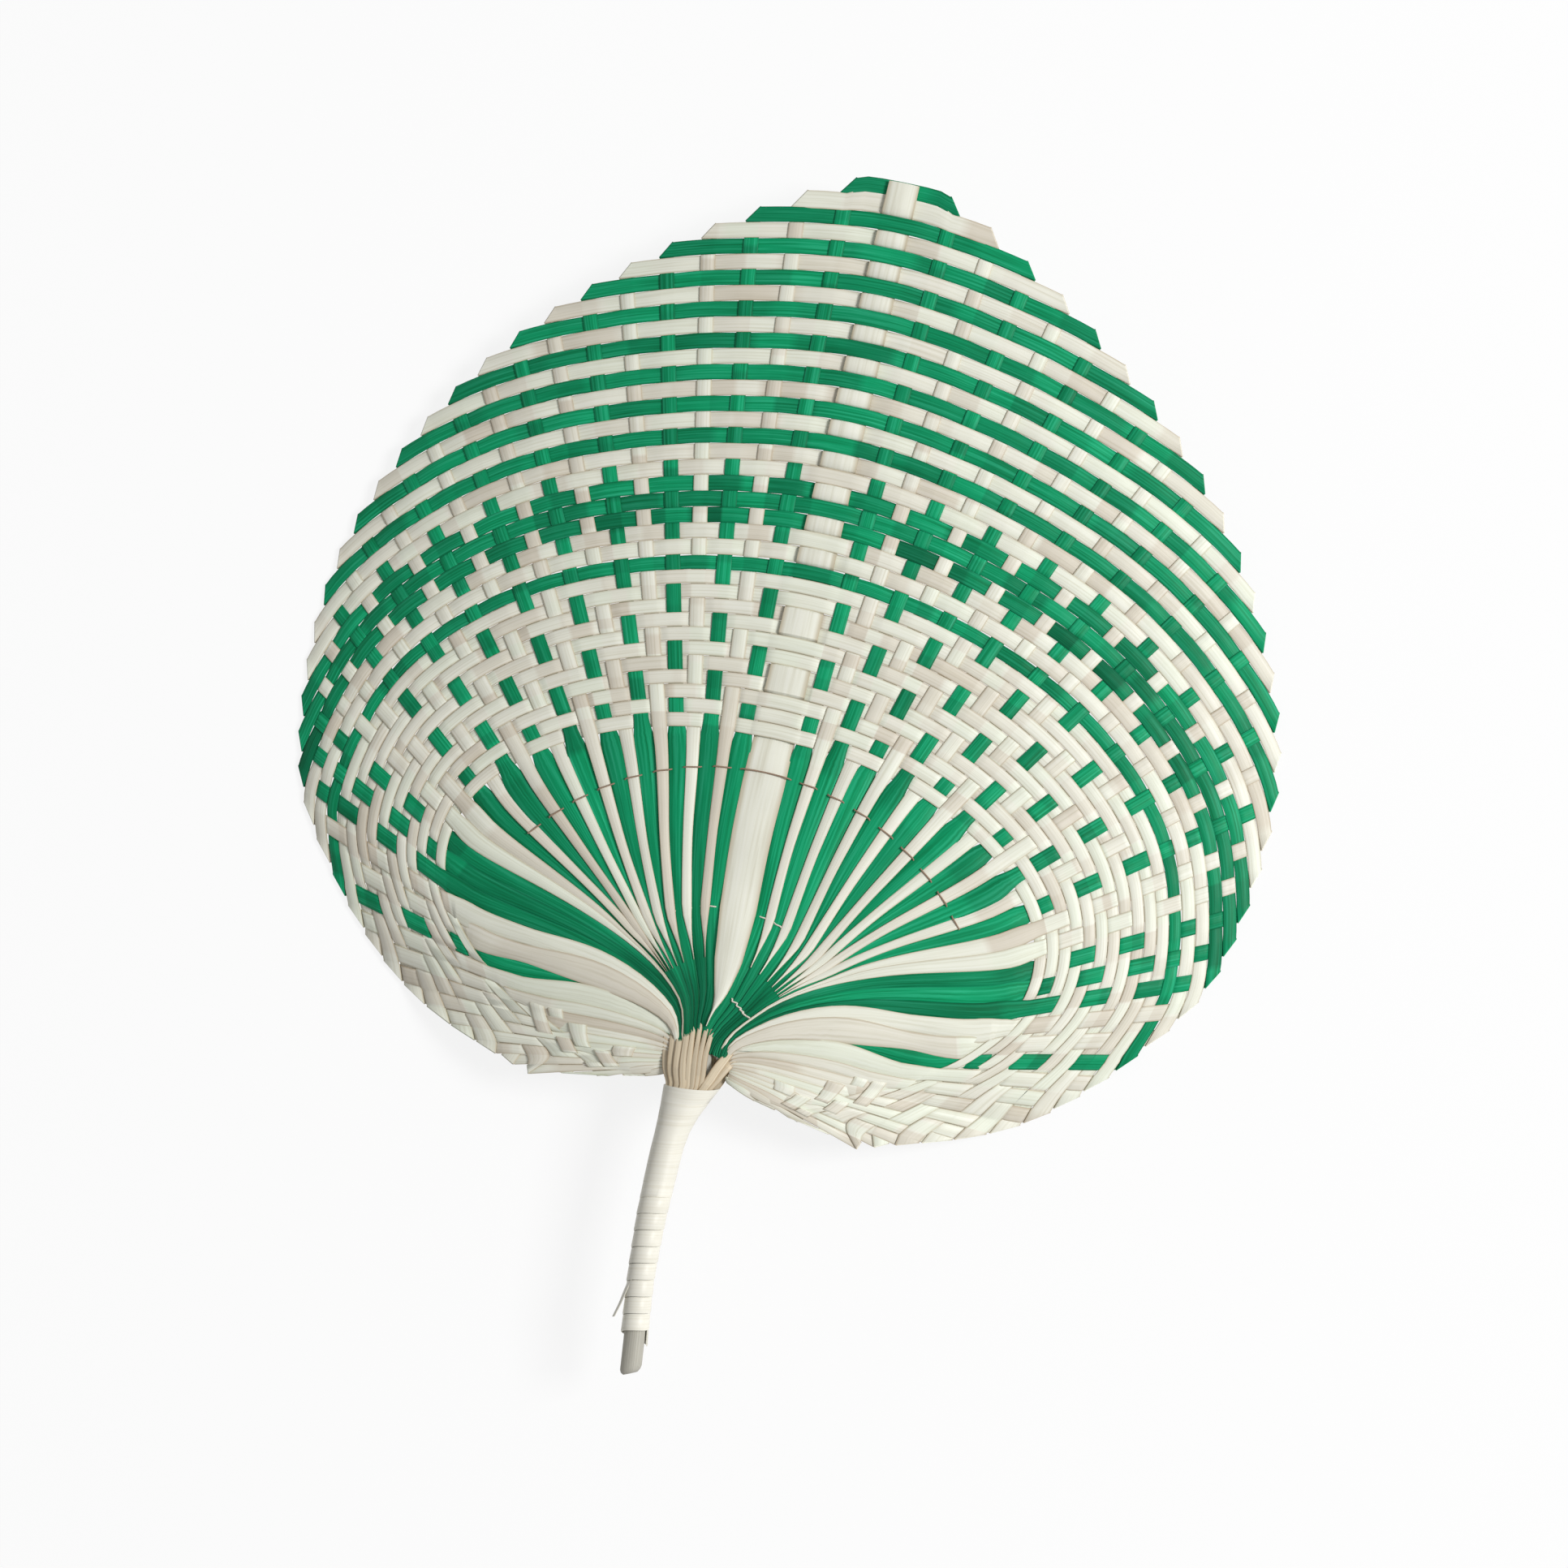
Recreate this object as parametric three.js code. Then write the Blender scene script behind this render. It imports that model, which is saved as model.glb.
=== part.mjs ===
import * as THREE from 'three';

// A woven bamboo hand fan, lying face up on the rim of its domed blade.
// Every splint is one loop: it leaves the handle as a leg, folds at the edge of the blade, crosses
// the blade as a row, folds again and comes back to the handle as the mirrored leg. Rows and legs
// interlace: plain weave near the apex, twill nearer the neck.
// Millimetres. +Y runs from the handle to the apex, +Z is the front face, the neck is the centre
// that legs and rows are measured from until the fan is set down at the end.

// Loops of the blade, counted from the apex inwards.
const loopCount = 36;
const plainRowCount = 25;
const stripedRowCount = 17;
const otherGreenLoops = [20, 21, 22, 25];

// Blade: its length above the neck, and the right half of its edge in shares of that length, from
// the apex round to the neck.
const bladeLength = 251;
const bladeEdge = [
  [0, 1], [0.0677, 0.992], [0.239, 0.8924], [0.4024, 0.753], [0.506, 0.6016], [0.5602, 0.4343],
  [0.5498, 0.247], [0.498, 0.1335], [0.3685, 0], [0.2072, -0.0677], [0.137, -0.0635], [0.0785, -0.0518],
];

// Rows: arcs about the neck.
const apexRowInset = 2;
const plainRowPitch = 4.7;
const twillRowPitch = 4.2;
const rowGap = 0.95;
const chordSpan = 3;

// How far the innermost row lies inside its circle: degrees from the axis, share of its radius.
// It bulges out beside the axis and runs in towards the neck along the lobes.
const openingDip = [
  [0, 0.01], [25, -0.04], [48, -0.1], [60, -0.09], [70, 0], [80, 0.19], [90, 0.42], [105, 0.61], [123, 0.75],
];

// Legs: straight splints that pass beside the neck.
const legWidth = 4.2;
const legGap = 0.35;
const legOffset = 5;
const firstLegAngle = THREE.MathUtils.degToRad(2.45);
const legAngleStep = THREE.MathUtils.degToRad(3.08);
const legEndRadius = 15;
const rampLength = 3;
const leastBareRun = 9;
const foldNotch = 0.2;

// Splint stock and the room between neighbours.
const splintThickness = 0.4;
const clearance = 0.3;

// Dome: the blade is highest along the rib and its sides and lobes curl back.
const domeDrop = 22;
const domeHalfWidth = 0.562 * bladeLength;
const lobeReach = 0.36 * bladeLength;
const lobeCurlStart = THREE.MathUtils.degToRad(40);
const lobeCurlEnd = THREE.MathUtils.degToRad(75);

// Threads that keep the bare legs apart: the outer one lies a setback inside the weave, the inner
// one at a share of the opening, the stitch just above the ends of the legs.
const threadRadius = 0.25;
const threadMargin = 0.5;
const outerThreadSetback = 11.8;
const outerThreadLegs = 16;
const innerThreadShare = 0.434;
const innerThreadLegs = 12;
const stitchSetback = 2.5;
const stitchLegs = 12;

// Handle: half width and half depth of stick and tails together at heights below the neck, and how
// far the handle's middle line strays from the axis of the blade.
const handleEnd = -93.5;
const tangFoot = -38;
const gripWaist = -22;
const gripTop = -12;
const gripProfile = [[handleEnd, 3.1, 3.1], [tangFoot, 3.6, 3.6], [gripWaist, 4.2, 3.9], [gripTop, 7.3, 4.3]];
const handleSway = [[handleEnd, 0], [tangFoot, -2.4], [gripWaist, -2.4], [gripTop, 0]];
const stickTop = 5;
const stickSides = 12;
const stubLength = 12;
const endCutSlope = 0.45;

// Tang: the flattened upper part of the stick, between the tails.
const tangHalfWidth = 1.3;
const tangDepthInset = 0.4;
const tangShoulder = -16;
const tangStep = 1;

// Tails: the gathered ends of the legs on each side of the stick. Pairs run from the inner edge of
// the sheet to its outer edge.
const pleatCount = 9;
const pleatDepth = 0.25;
const tailLegMargin = 0.4;
const tailTop = { depth: 0.45, roundness: 0 };
const tailTurn = { radii: [10.5, 11.5], angleShares: [0.8, 1], depth: 1, roundness: 0.2 };
const tailShoulder = { halfWidth: 7.6, heights: [2, -9.6], depth: 2.4, roundness: 0.7 };
const tailThroat = { halfWidth: 7, heights: [gripTop, -13.5], depth: 3.6, roundness: 1 };
const tailFoot = -37;
const edgeThinness = 0.08;

// Central rib: width at a few heights above the neck.
const ribThickness = 0.6;
const ribCrown = 0.25;
const ribOverhang = 0.4;
const ribPoint = stickTop + clearance;
const ribWidths = [[ribPoint, 1], [0.108 * bladeLength, 9.6], [0.3 * bladeLength, 12], [bladeLength, 8.8]];

// Binding: one flat strip wound down the handle.
const bindingTop = -12.5;
const bindingTurns = 15;
const bindingPitch = 4.65;
const bindingWidth = 3.9;
const bindingThickness = 0.5;
const bindingStepsPerTurn = 16;
const bindingSlack = 0.5;

const greenBamboo = new THREE.MeshStandardMaterial({ color: 0x07814a, roughness: 0.38, metalness: 0 });
const naturalBamboo = new THREE.MeshStandardMaterial({ color: 0xe3d7c6, roughness: 0.5, metalness: 0 });
const stickWood = new THREE.MeshStandardMaterial({ color: 0xbfb6a2, roughness: 0.65, metalness: 0 });
const paleBinding = new THREE.MeshStandardMaterial({ color: 0xebe6d6, roughness: 0.45, metalness: 0 });
const cottonThread = new THREE.MeshStandardMaterial({ color: 0xf0ece0, roughness: 0.8, metalness: 0 });

const fan = new THREE.Group();

function addPiece(name, geometry, material) {
  const mesh = new THREE.Mesh(geometry, material);
  mesh.name = name;
  fan.add(mesh);
}

const lerp = THREE.MathUtils.lerp;
const polarPoint = (radius, angle) => new THREE.Vector2(radius * Math.sin(angle), radius * Math.cos(angle));
const polarAngle = (point) => Math.atan2(point.x, point.y);
const mirrored = (point) => new THREE.Vector3(-point.x, point.y, point.z);

// Straight-line reading of a table whose rows are [place, value, value...] with rising places.
function readTable(table, place, column) {
  const next = table.findIndex((row) => row[0] >= place);
  if (next < 0) return table[table.length - 1][column];
  if (next === 0) return table[0][column];
  const [low, high] = [table[next - 1], table[next]];
  return lerp(low[column], high[column], (place - low[0]) / (high[0] - low[0]));
}

// Whether a twisted face a-b-c-d stands proud along its diagonal from a to c.
function ridgeFromA(a, b, c, d) {
  const outward = b.clone().sub(a).cross(d.clone().sub(a));
  return c.clone().sub(a).dot(outward) > 0;
}

// Closed solid through rings of points. Each ring runs over the front from left to right of the
// direction of travel and returns over the back.
function loft(rings) {
  const sides = rings[0].length;
  const points = rings.flat();
  const positions = points.flatMap((point) => [point.x, point.y, point.z]);
  const indices = [];
  for (let ring = 0; ring + 1 < rings.length; ring += 1) {
    for (let side = 0; side < sides; side += 1) {
      const [a, b] = [ring * sides + side, ring * sides + ((side + 1) % sides)];
      const [c, d] = [b + sides, a + sides];
      const proud = ridgeFromA(points[a], points[b], points[c], points[d]);
      indices.push(...(proud ? [a, b, c, a, c, d] : [a, b, d, b, c, d]));
    }
  }
  const last = (rings.length - 1) * sides;
  for (let step = 0; step + 1 <= sides - 2 - step; step += 1) {
    const [a, b, c, d] = [step, step + 1, sides - 2 - step, sides - 1 - step];
    indices.push(a, d, b, last + a, last + b, last + d);
    if (b !== c) indices.push(b, d, c, last + b, last + c, last + d);
  }
  const geometry = new THREE.BufferGeometry();
  geometry.setAttribute('position', new THREE.Float32BufferAttribute(positions, 3));
  geometry.setIndex(indices);
  geometry.computeVertexNormals();
  return geometry;
}

// Smooth curve through a few pairs, as its sample points.
const curveSamples = 240;
const smoothCurve = (pairs) =>
  new THREE.SplineCurve(pairs.map(([x, y]) => new THREE.Vector2(x, y))).getPoints(curveSamples);

// Blade edge as radius against angle from the axis.
const edgeTable = smoothCurve(bladeEdge).map((point) => [polarAngle(point), bladeLength * point.length()]);
const edgeRadius = (angle) => readTable(edgeTable, angle, 1);

// Height of the dome at a plan point, from the neck's level. The least sine keeps the axis flat.
const leastSine = 1e-6;

function domeHeight(x, y) {
  const angle = Math.atan2(Math.abs(x), y);
  const sideReach = domeHalfWidth / Math.max(Math.sin(angle), leastSine);
  const rimReach = Math.max(edgeRadius(angle), lobeReach);
  const curl = THREE.MathUtils.smoothstep(angle, lobeCurlStart, lobeCurlEnd);
  const reach = lerp(sideReach, rimReach, curl);
  return -domeDrop * (Math.hypot(x, y) / reach) ** 2;
}

const onDome = (point) => new THREE.Vector3(point.x, point.y, domeHeight(point.x, point.y));

// Leg lines. A leg index may lie between two legs, and side is -1 on the axis side of the leg.
const legAngle = (leg) => firstLegAngle + legAngleStep * (leg - 1);

function legHalfWidth(distance) {
  return Math.min(legWidth, legAngleStep * distance - legGap) / 2;
}

function linePoint(leg, distance, sideways) {
  const angle = legAngle(leg);
  const across = legOffset + sideways;
  return new THREE.Vector2(
    across * Math.cos(angle) + distance * Math.sin(angle),
    distance * Math.cos(angle) - across * Math.sin(angle),
  );
}

const legEdgePoint = (leg, distance, side) => linePoint(leg, distance, side * legHalfWidth(distance));
const alongLeg = (radius) => Math.sqrt(Math.max(radius ** 2 - legOffset ** 2, 0));

// Rows. Each row has a pitch to the next one, a start radius on the axis and a fold on its own leg.
const rowPitch = (row) => (row < plainRowCount ? plainRowPitch : twillRowPitch);
const rowWidth = (row) => rowPitch(row) - rowGap;

function rowStart(row) {
  const plainRows = Math.min(row, plainRowCount) - 1;
  const twillRows = Math.max(row - plainRowCount, 0);
  return bladeLength - apexRowInset - plainRows * plainRowPitch - twillRows * twillRowPitch;
}

// Turns of a search that closes in on a crossing.
const searchTurns = 12;

// Plan radius at which a row that folded on the line of this leg index would have its fold.
function foldRadius(leg) {
  const half = rowWidth(leg) / 2;
  let radius = rowStart(leg);
  for (let turn = 0; turn < searchTurns; turn += 1) {
    radius = edgeRadius(legAngle(leg) + Math.asin(legOffset / radius)) - half;
  }
  return radius;
}

// Plan radius of the innermost row, which borders the open part of the blade.
const dipTable = smoothCurve(openingDip).map((point) => [THREE.MathUtils.degToRad(point.x), point.y]);

function openingRadius(leg) {
  let radius = rowStart(loopCount);
  for (let turn = 0; turn < searchTurns; turn += 1) {
    const angle = legAngle(leg) + Math.asin(legOffset / radius);
    radius = rowStart(loopCount) * (1 - readTable(dipTable, angle, 1));
  }
  return radius;
}

// Plan radius of a row on the line of a leg index: the rows share the room from edge to opening.
function rowRadiusOnLine(row, leg) {
  const outermost = rowStart(Math.max(leg, 1));
  const innermost = rowStart(loopCount);
  const share = (rowStart(row) - innermost) / (outermost - innermost);
  return lerp(openingRadius(leg), foldRadius(leg), share);
}

// Corners of a fold: the leg runs under its row, and the crease cuts off the outer corner.
function foldCorners(row) {
  const half = rowWidth(row) / 2;
  const fold = foldRadius(row);
  const halfWidth = legHalfWidth(alongLeg(fold));
  const slant = 2 * (fold - rowRadiusOnLine(row, row - 0.5)) / (legAngleStep * alongLeg(fold));
  const corner = (side, offset, back, aside) => {
    const distance = alongLeg(fold + slant * side * halfWidth + offset) - back;
    return onDome(linePoint(row, distance, side * halfWidth - aside));
  };
  return {
    legNear: corner(-1, -half, foldNotch, 0),
    legFar: corner(1, -half, 0, 0),
    rowInner: corner(-1, -half, 0, foldNotch),
    rowOuter: corner(-1, half, 0, 0),
  };
}

// Both edges of a row on the right half, from beside the rib to the fold.
function rowEdges(row) {
  const inner = [];
  const outer = [];
  const half = rowWidth(row) / 2;
  for (let leg = 0.5; leg < row; leg += chordSpan) {
    const radius = rowRadiusOnLine(row, leg);
    inner.push(onDome(linePoint(leg, alongLeg(radius - half), 0)));
    outer.push(onDome(linePoint(leg, alongLeg(radius + half), 0)));
  }
  const { rowInner, rowOuter } = foldCorners(row);
  inner.push(rowInner);
  outer.push(rowOuter);
  return { inner, outer };
}

const rows = Array.from({ length: loopCount + 1 }, (_, row) => (row > 0 ? rowEdges(row) : null));

// Point of a row's edge in the direction of a plan angle.
function edgePointAt(edge, angle) {
  const points = [mirrored(edge[0]), ...edge];
  const last = points.length - 1;
  const next = points.findIndex((point, place) => place > 0 && polarAngle(point) >= angle);
  const end = next < 0 ? last : next;
  const [from, to] = [points[end - 1], points[end]];
  const ray = polarPoint(1, angle);
  const offLine = (point) => point.x * ray.y - point.y * ray.x;
  return from.clone().lerp(to, offLine(from) / (offLine(from) - offLine(to)));
}

// Where one side of a leg crosses an edge of a row.
function legCrossing(leg, side, edge) {
  let distance = edge[0].length();
  let crossing = edge[0];
  for (let turn = 0; turn < searchTurns; turn += 1) {
    const point = legEdgePoint(leg, distance, side);
    crossing = edgePointAt(edge, polarAngle(point));
    distance += Math.hypot(crossing.x, crossing.y) - point.length();
  }
  return crossing;
}

// Weave. The rib counts as leg 0. The last row is turned over to lock the weave.
function legOnTop(row, leg) {
  if (row <= plainRowCount) return leg === 0 && row === 1 ? true : (row + leg) % 2 === 0;
  const twill = (row + leg) % 4 < 2;
  return row === loopCount ? !twill : twill;
}

// Runs of neighbouring rows that a leg passes on the same face, from the neck outwards.
function weaveRuns(leg) {
  const runs = [];
  for (let row = loopCount; row > leg; row -= 1) {
    const top = legOnTop(row, leg);
    const run = runs[runs.length - 1];
    if (run && run.top === top) run.lastRow = row;
    else runs.push({ top, firstRow: row, lastRow: row });
  }
  return runs;
}

// Splint section: flat front, crowned back.
function splintRing(left, right, lift) {
  const front = new THREE.Vector3(0, 0, lift + splintThickness / 2);
  const back = left.clone().add(right).multiplyScalar(0.5);
  back.z += lift - splintThickness / 2;
  return [left.clone().add(front), right.clone().add(front), back];
}

const splintLift = splintThickness + clearance;

function legRing(leg, distance, lift) {
  return splintRing(onDome(legEdgePoint(leg, distance, -1)), onDome(legEdgePoint(leg, distance, 1)), lift);
}

const crossingRing = (leg, edge, lift) =>
  splintRing(legCrossing(leg, -1, edge), legCrossing(leg, 1, edge), lift);

// Threads: distance from the neck and the legs that each one crosses.
const openingStart = rowStart(loopCount);
const outerThread = { radius: openingStart - outerThreadSetback, firstLeg: 1, lastLeg: outerThreadLegs };
const innerThread = { radius: openingStart * innerThreadShare, firstLeg: 1, lastLeg: innerThreadLegs };
const neckStitch = { radius: legEndRadius + stitchSetback, firstLeg: 1, lastLeg: stitchLegs };

// The bare part of a leg between the neck and the weave, flat on the dome.
function bareLegRings(leg) {
  const isWoven = leg < loopCount;
  const sideStart = (side) => legCrossing(leg, side, rows[loopCount].inner);
  const starts = isWoven ? [sideStart(-1), sideStart(1)].map((point) => Math.hypot(point.x, point.y)) : [];
  const weaveRadius = isWoven ? Math.min(...starts) : foldRadius(leg);
  const restRadii = [legEndRadius, innerThread.radius, outerThread.radius];
  const reached = restRadii.filter((radius) => radius < weaveRadius - rampLength);
  const gapLeft = weaveRadius - reached[reached.length - 1];
  if (isWoven && gapLeft > leastBareRun && reached.length < restRadii.length) {
    reached.push(weaveRadius - rampLength);
  }
  return reached.map((radius) => legRing(leg, alongLeg(radius), 0));
}

function legRings(leg) {
  const rings = bareLegRings(leg);
  for (const run of weaveRuns(leg)) {
    const lift = run.top ? splintLift : -splintLift;
    rings.push(crossingRing(leg, rows[run.firstRow].inner, lift));
    rings.push(crossingRing(leg, rows[run.lastRow].outer, lift));
  }
  return rings;
}

function loopRings(loop) {
  const { inner, outer } = rows[loop];
  const { legNear, legFar } = foldCorners(loop);
  const half = [...legRings(loop), splintRing(legNear, legFar, 0)];
  for (let place = inner.length - 1; place >= 0; place -= 1) {
    half.push(splintRing(inner[place], outer[place], 0));
  }
  const mirror = half.map((ring) => ring.map(mirrored)).reverse();
  return [...half, ...mirror];
}

const isGreen = (loop) => (loop <= stripedRowCount ? loop % 2 === 1 : otherGreenLoops.includes(loop));

function addLoops() {
  for (let loop = 1; loop <= loopCount; loop += 1) {
    const colour = isGreen(loop) ? 'green' : 'natural';
    const name = `${colour}_splint_${String(loop).padStart(2, '0')}`;
    addPiece(name, loft(loopRings(loop)), isGreen(loop) ? greenBamboo : naturalBamboo);
  }
}

// Central rib: a wide crowned slat woven through all the rows on the axis.
function ribRing(y, baseHeight, lift) {
  const halfWidth = readTable(ribWidths, y, 1) / 2;
  const height = baseHeight + lift;
  const front = height + ribThickness / 2;
  return [
    new THREE.Vector3(-halfWidth, y, height),
    new THREE.Vector3(0, y, front + ribCrown),
    new THREE.Vector3(halfWidth, y, height),
    new THREE.Vector3(0, y, height - ribThickness / 2),
  ];
}

function addRib() {
  const overLift = (splintThickness + ribThickness) / 2 + clearance;
  const weaveFoot = rows[loopCount].inner[0].y;
  const rings = ribWidths.filter(([y]) => y < weaveFoot - rampLength).map(([y]) => ribRing(y, 0, 0));
  for (const run of weaveRuns(0)) {
    const lift = run.top ? overLift : -overLift - ribCrown;
    const first = rows[run.firstRow].inner[0];
    const last = rows[run.lastRow].outer[0];
    rings.push(ribRing(first.y, first.z, lift));
    rings.push(ribRing(last.y, last.z, lift));
  }
  const tip = rows[1].outer[0];
  rings.push(ribRing(tip.y + ribOverhang, tip.z, overLift));
  addPiece('central_rib', loft(rings), naturalBamboo);
}

// Threads laid over the front of the bare legs.
function threadRing(point, lift) {
  const middle = onDome(point);
  const outward = new THREE.Vector3(point.x, point.y, 0).setLength(threadRadius);
  const up = new THREE.Vector3(0, 0, threadRadius);
  middle.z += lift;
  return [middle.clone().add(outward), middle.clone().add(up), middle.clone().sub(outward), middle.clone().sub(up)];
}

const threadLift = splintThickness / 2 + clearance + threadRadius;
const threadOverRib = ribThickness / 2 + ribCrown + clearance + threadRadius;
const threadStep = 2;

function halfThreadRings({ radius, firstLeg, lastLeg }) {
  const rings = [];
  for (let leg = firstLeg - threadMargin; leg <= lastLeg + threadMargin; leg += threadStep) {
    const lift = leg < 1 ? threadOverRib : threadLift;
    rings.push(threadRing(linePoint(leg, alongLeg(radius), 0), lift));
  }
  return rings;
}

const mirroredThread = (rings) => rings.map(([out, up, back, down]) => [out, up, back, down].map(mirrored));

function addThreads() {
  for (const [name, thread] of [['outer_spacer_thread', outerThread], ['inner_spacer_thread', innerThread]]) {
    const right = halfThreadRings(thread);
    addPiece(name, loft([...mirroredThread(right).reverse(), ...right]), cottonThread);
  }
  addPiece('neck_stitch', loft(halfThreadRings(neckStitch)), cottonThread);
}

// Handle pieces are made about a straight line, which then takes the handle's sway.
function swayed(rings) {
  const moved = (point) => new THREE.Vector3(point.x + readTable(handleSway, point.y, 1), point.y, point.z);
  return rings.map((ring) => ring.map(moved));
}

// Handle stick: round below, flattened to a tang between the gathered tails above.
const gripHalfWidth = (y) => readTable(gripProfile, y, 1);
const gripHalfDepth = (y) => readTable(gripProfile, y, 2);

function stickHalfWidth(y) {
  if (y <= tangFoot) return gripHalfWidth(y);
  const share = Math.min((y - tangFoot) / (tangShoulder - tangFoot), 1);
  return lerp(gripHalfWidth(tangFoot) - clearance, tangHalfWidth, share);
}

function stickRing(y, cutSlope) {
  const halfWidth = stickHalfWidth(y);
  const halfDepth = gripHalfDepth(y) - (y > tangFoot ? tangDepthInset : 0);
  return Array.from({ length: stickSides }, (_, side) => {
    const angle = (side / stickSides) * 2 * Math.PI;
    const x = halfWidth * Math.cos(angle);
    return new THREE.Vector3(x, y + cutSlope * (x + halfWidth), halfDepth * Math.sin(angle));
  });
}

function addStick() {
  const heights = [stickTop, gripTop, tangShoulder, gripWaist, tangFoot + tangStep, tangFoot];
  const rings = heights.map((y) => stickRing(y, 0));
  rings.push(stickRing(handleEnd + stubLength, 0), stickRing(handleEnd, endCutSlope));
  addPiece('handle_stick', loft(swayed(rings)), stickWood);
}

// Tails: a pleated sheet that turns from the fan of legs down along the stick.
// Stations run down the sheet, and share runs across it from the axis to its outer edge.
function tailStations(share) {
  const across = ([inner, outer]) => lerp(inner, outer, share);
  const topRadius = legEndRadius - clearance;
  const legs = [legAngle(1 - tailLegMargin), legAngle(loopCount + tailLegMargin)];
  const angle = across(legs) + Math.asin(legOffset / topRadius);
  const turnAngle = angle * across(tailTurn.angleShares);
  const tang = tangHalfWidth + clearance;
  const rounding = ({ halfWidth, heights }) => new THREE.Vector2(across([tang, halfWidth]), across(heights));
  const beside = (y) => ({
    at: new THREE.Vector2(across([stickHalfWidth(y) + clearance, gripHalfWidth(y)]), y),
    depth: gripHalfDepth(y),
    roundness: 1,
  });
  return [
    { ...tailTop, at: polarPoint(topRadius, angle) },
    { ...tailTurn, at: polarPoint(across(tailTurn.radii), turnAngle) },
    { ...tailShoulder, at: rounding(tailShoulder) },
    { ...tailThroat, at: rounding(tailThroat) },
    beside(gripWaist),
    beside(tailFoot),
  ];
}

function tailLine(column) {
  const dip = column % 2 === 1 ? 1 - pleatDepth : 1;
  return tailStations(column / (2 * pleatCount)).map(({ at, depth, roundness }) => {
    const across = Math.min(at.x / gripHalfWidth(at.y), 1);
    const oval = Math.max(Math.sqrt(1 - across ** 2), edgeThinness);
    return new THREE.Vector3(at.x, at.y, depth * dip * lerp(1, oval, roundness));
  });
}

function tailRings() {
  const columns = Array.from({ length: 2 * pleatCount + 1 }, (_, column) => 2 * pleatCount - column);
  const fronts = columns.map(tailLine);
  return fronts[0].map((_, station) => {
    const front = fronts.map((line) => line[station]);
    const back = front.map((point) => new THREE.Vector3(point.x, point.y, -point.z)).reverse();
    return [...front, ...back];
  });
}

function addTails() {
  const right = tailRings();
  const left = right.map((ring) => ring.map(mirrored).reverse());
  addPiece('gathered_tails_right', loft(swayed(right)), naturalBamboo);
  addPiece('gathered_tails_left', loft(swayed(left)), naturalBamboo);
}

// Binding: rings of a flat strip on a helix that follows the grip's taper.
function bindingPoint(turn, y, outwards) {
  const angle = turn * 2 * Math.PI;
  const room = bindingSlack + outwards;
  return new THREE.Vector3(
    (gripHalfWidth(y) + room) * Math.cos(angle),
    y,
    (gripHalfDepth(y) + room) * Math.sin(angle),
  );
}

function bindingRing(turn) {
  const y = bindingTop - bindingPitch * turn;
  const [low, high] = [y - bindingWidth / 2, y + bindingWidth / 2];
  return [
    bindingPoint(turn, low, bindingThickness),
    bindingPoint(turn, high, bindingThickness),
    bindingPoint(turn, high, 0),
    bindingPoint(turn, low, 0),
  ];
}

// The strip's ends run on straight for one strip width.
function straightEnd(end, before) {
  return end.map((point, corner) => {
    const run = point.clone().sub(before[corner]).setLength(bindingWidth);
    return point.clone().add(run);
  });
}

function leastSelfGap(rings) {
  const halfTurn = bindingStepsPerTurn / 2;
  let least = Infinity;
  for (let first = 0; first < rings.length; first += 1) {
    for (let second = first + halfTurn; second < rings.length; second += 1) {
      for (const a of rings[first]) {
        for (const b of rings[second]) least = Math.min(least, a.distanceTo(b));
      }
    }
  }
  return least;
}

function addBinding() {
  const steps = bindingTurns * bindingStepsPerTurn;
  const turns = Array.from({ length: steps + 1 }, (_, step) => bindingRing(step / bindingStepsPerTurn));
  const rings = [
    straightEnd(turns[0], turns[1]),
    ...turns,
    straightEnd(turns[steps], turns[steps - 1]),
  ];
  const wound = swayed(rings);
  console.log(`handle_binding: least gap to itself ${leastSelfGap(wound).toFixed(2)} mm`);
  addPiece('handle_binding', loft(wound), paleBinding);
}

addLoops();
addRib();
addThreads();
addStick();
addTails();
addBinding();

// Set the fan down: the middle of its box's base is the origin.
const box = new THREE.Box3().setFromObject(fan);
const middle = box.getCenter(new THREE.Vector3());
fan.position.set(-middle.x, -middle.y, -box.min.z);

export default fan;
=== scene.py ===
"""A woven bamboo hand fan: the looks of the part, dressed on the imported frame."""
import bisect
import random
from math import asin, atan2, cos, hypot, pi, radians, sin, sqrt

import bpy
from mathutils import Matrix, Vector


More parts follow.
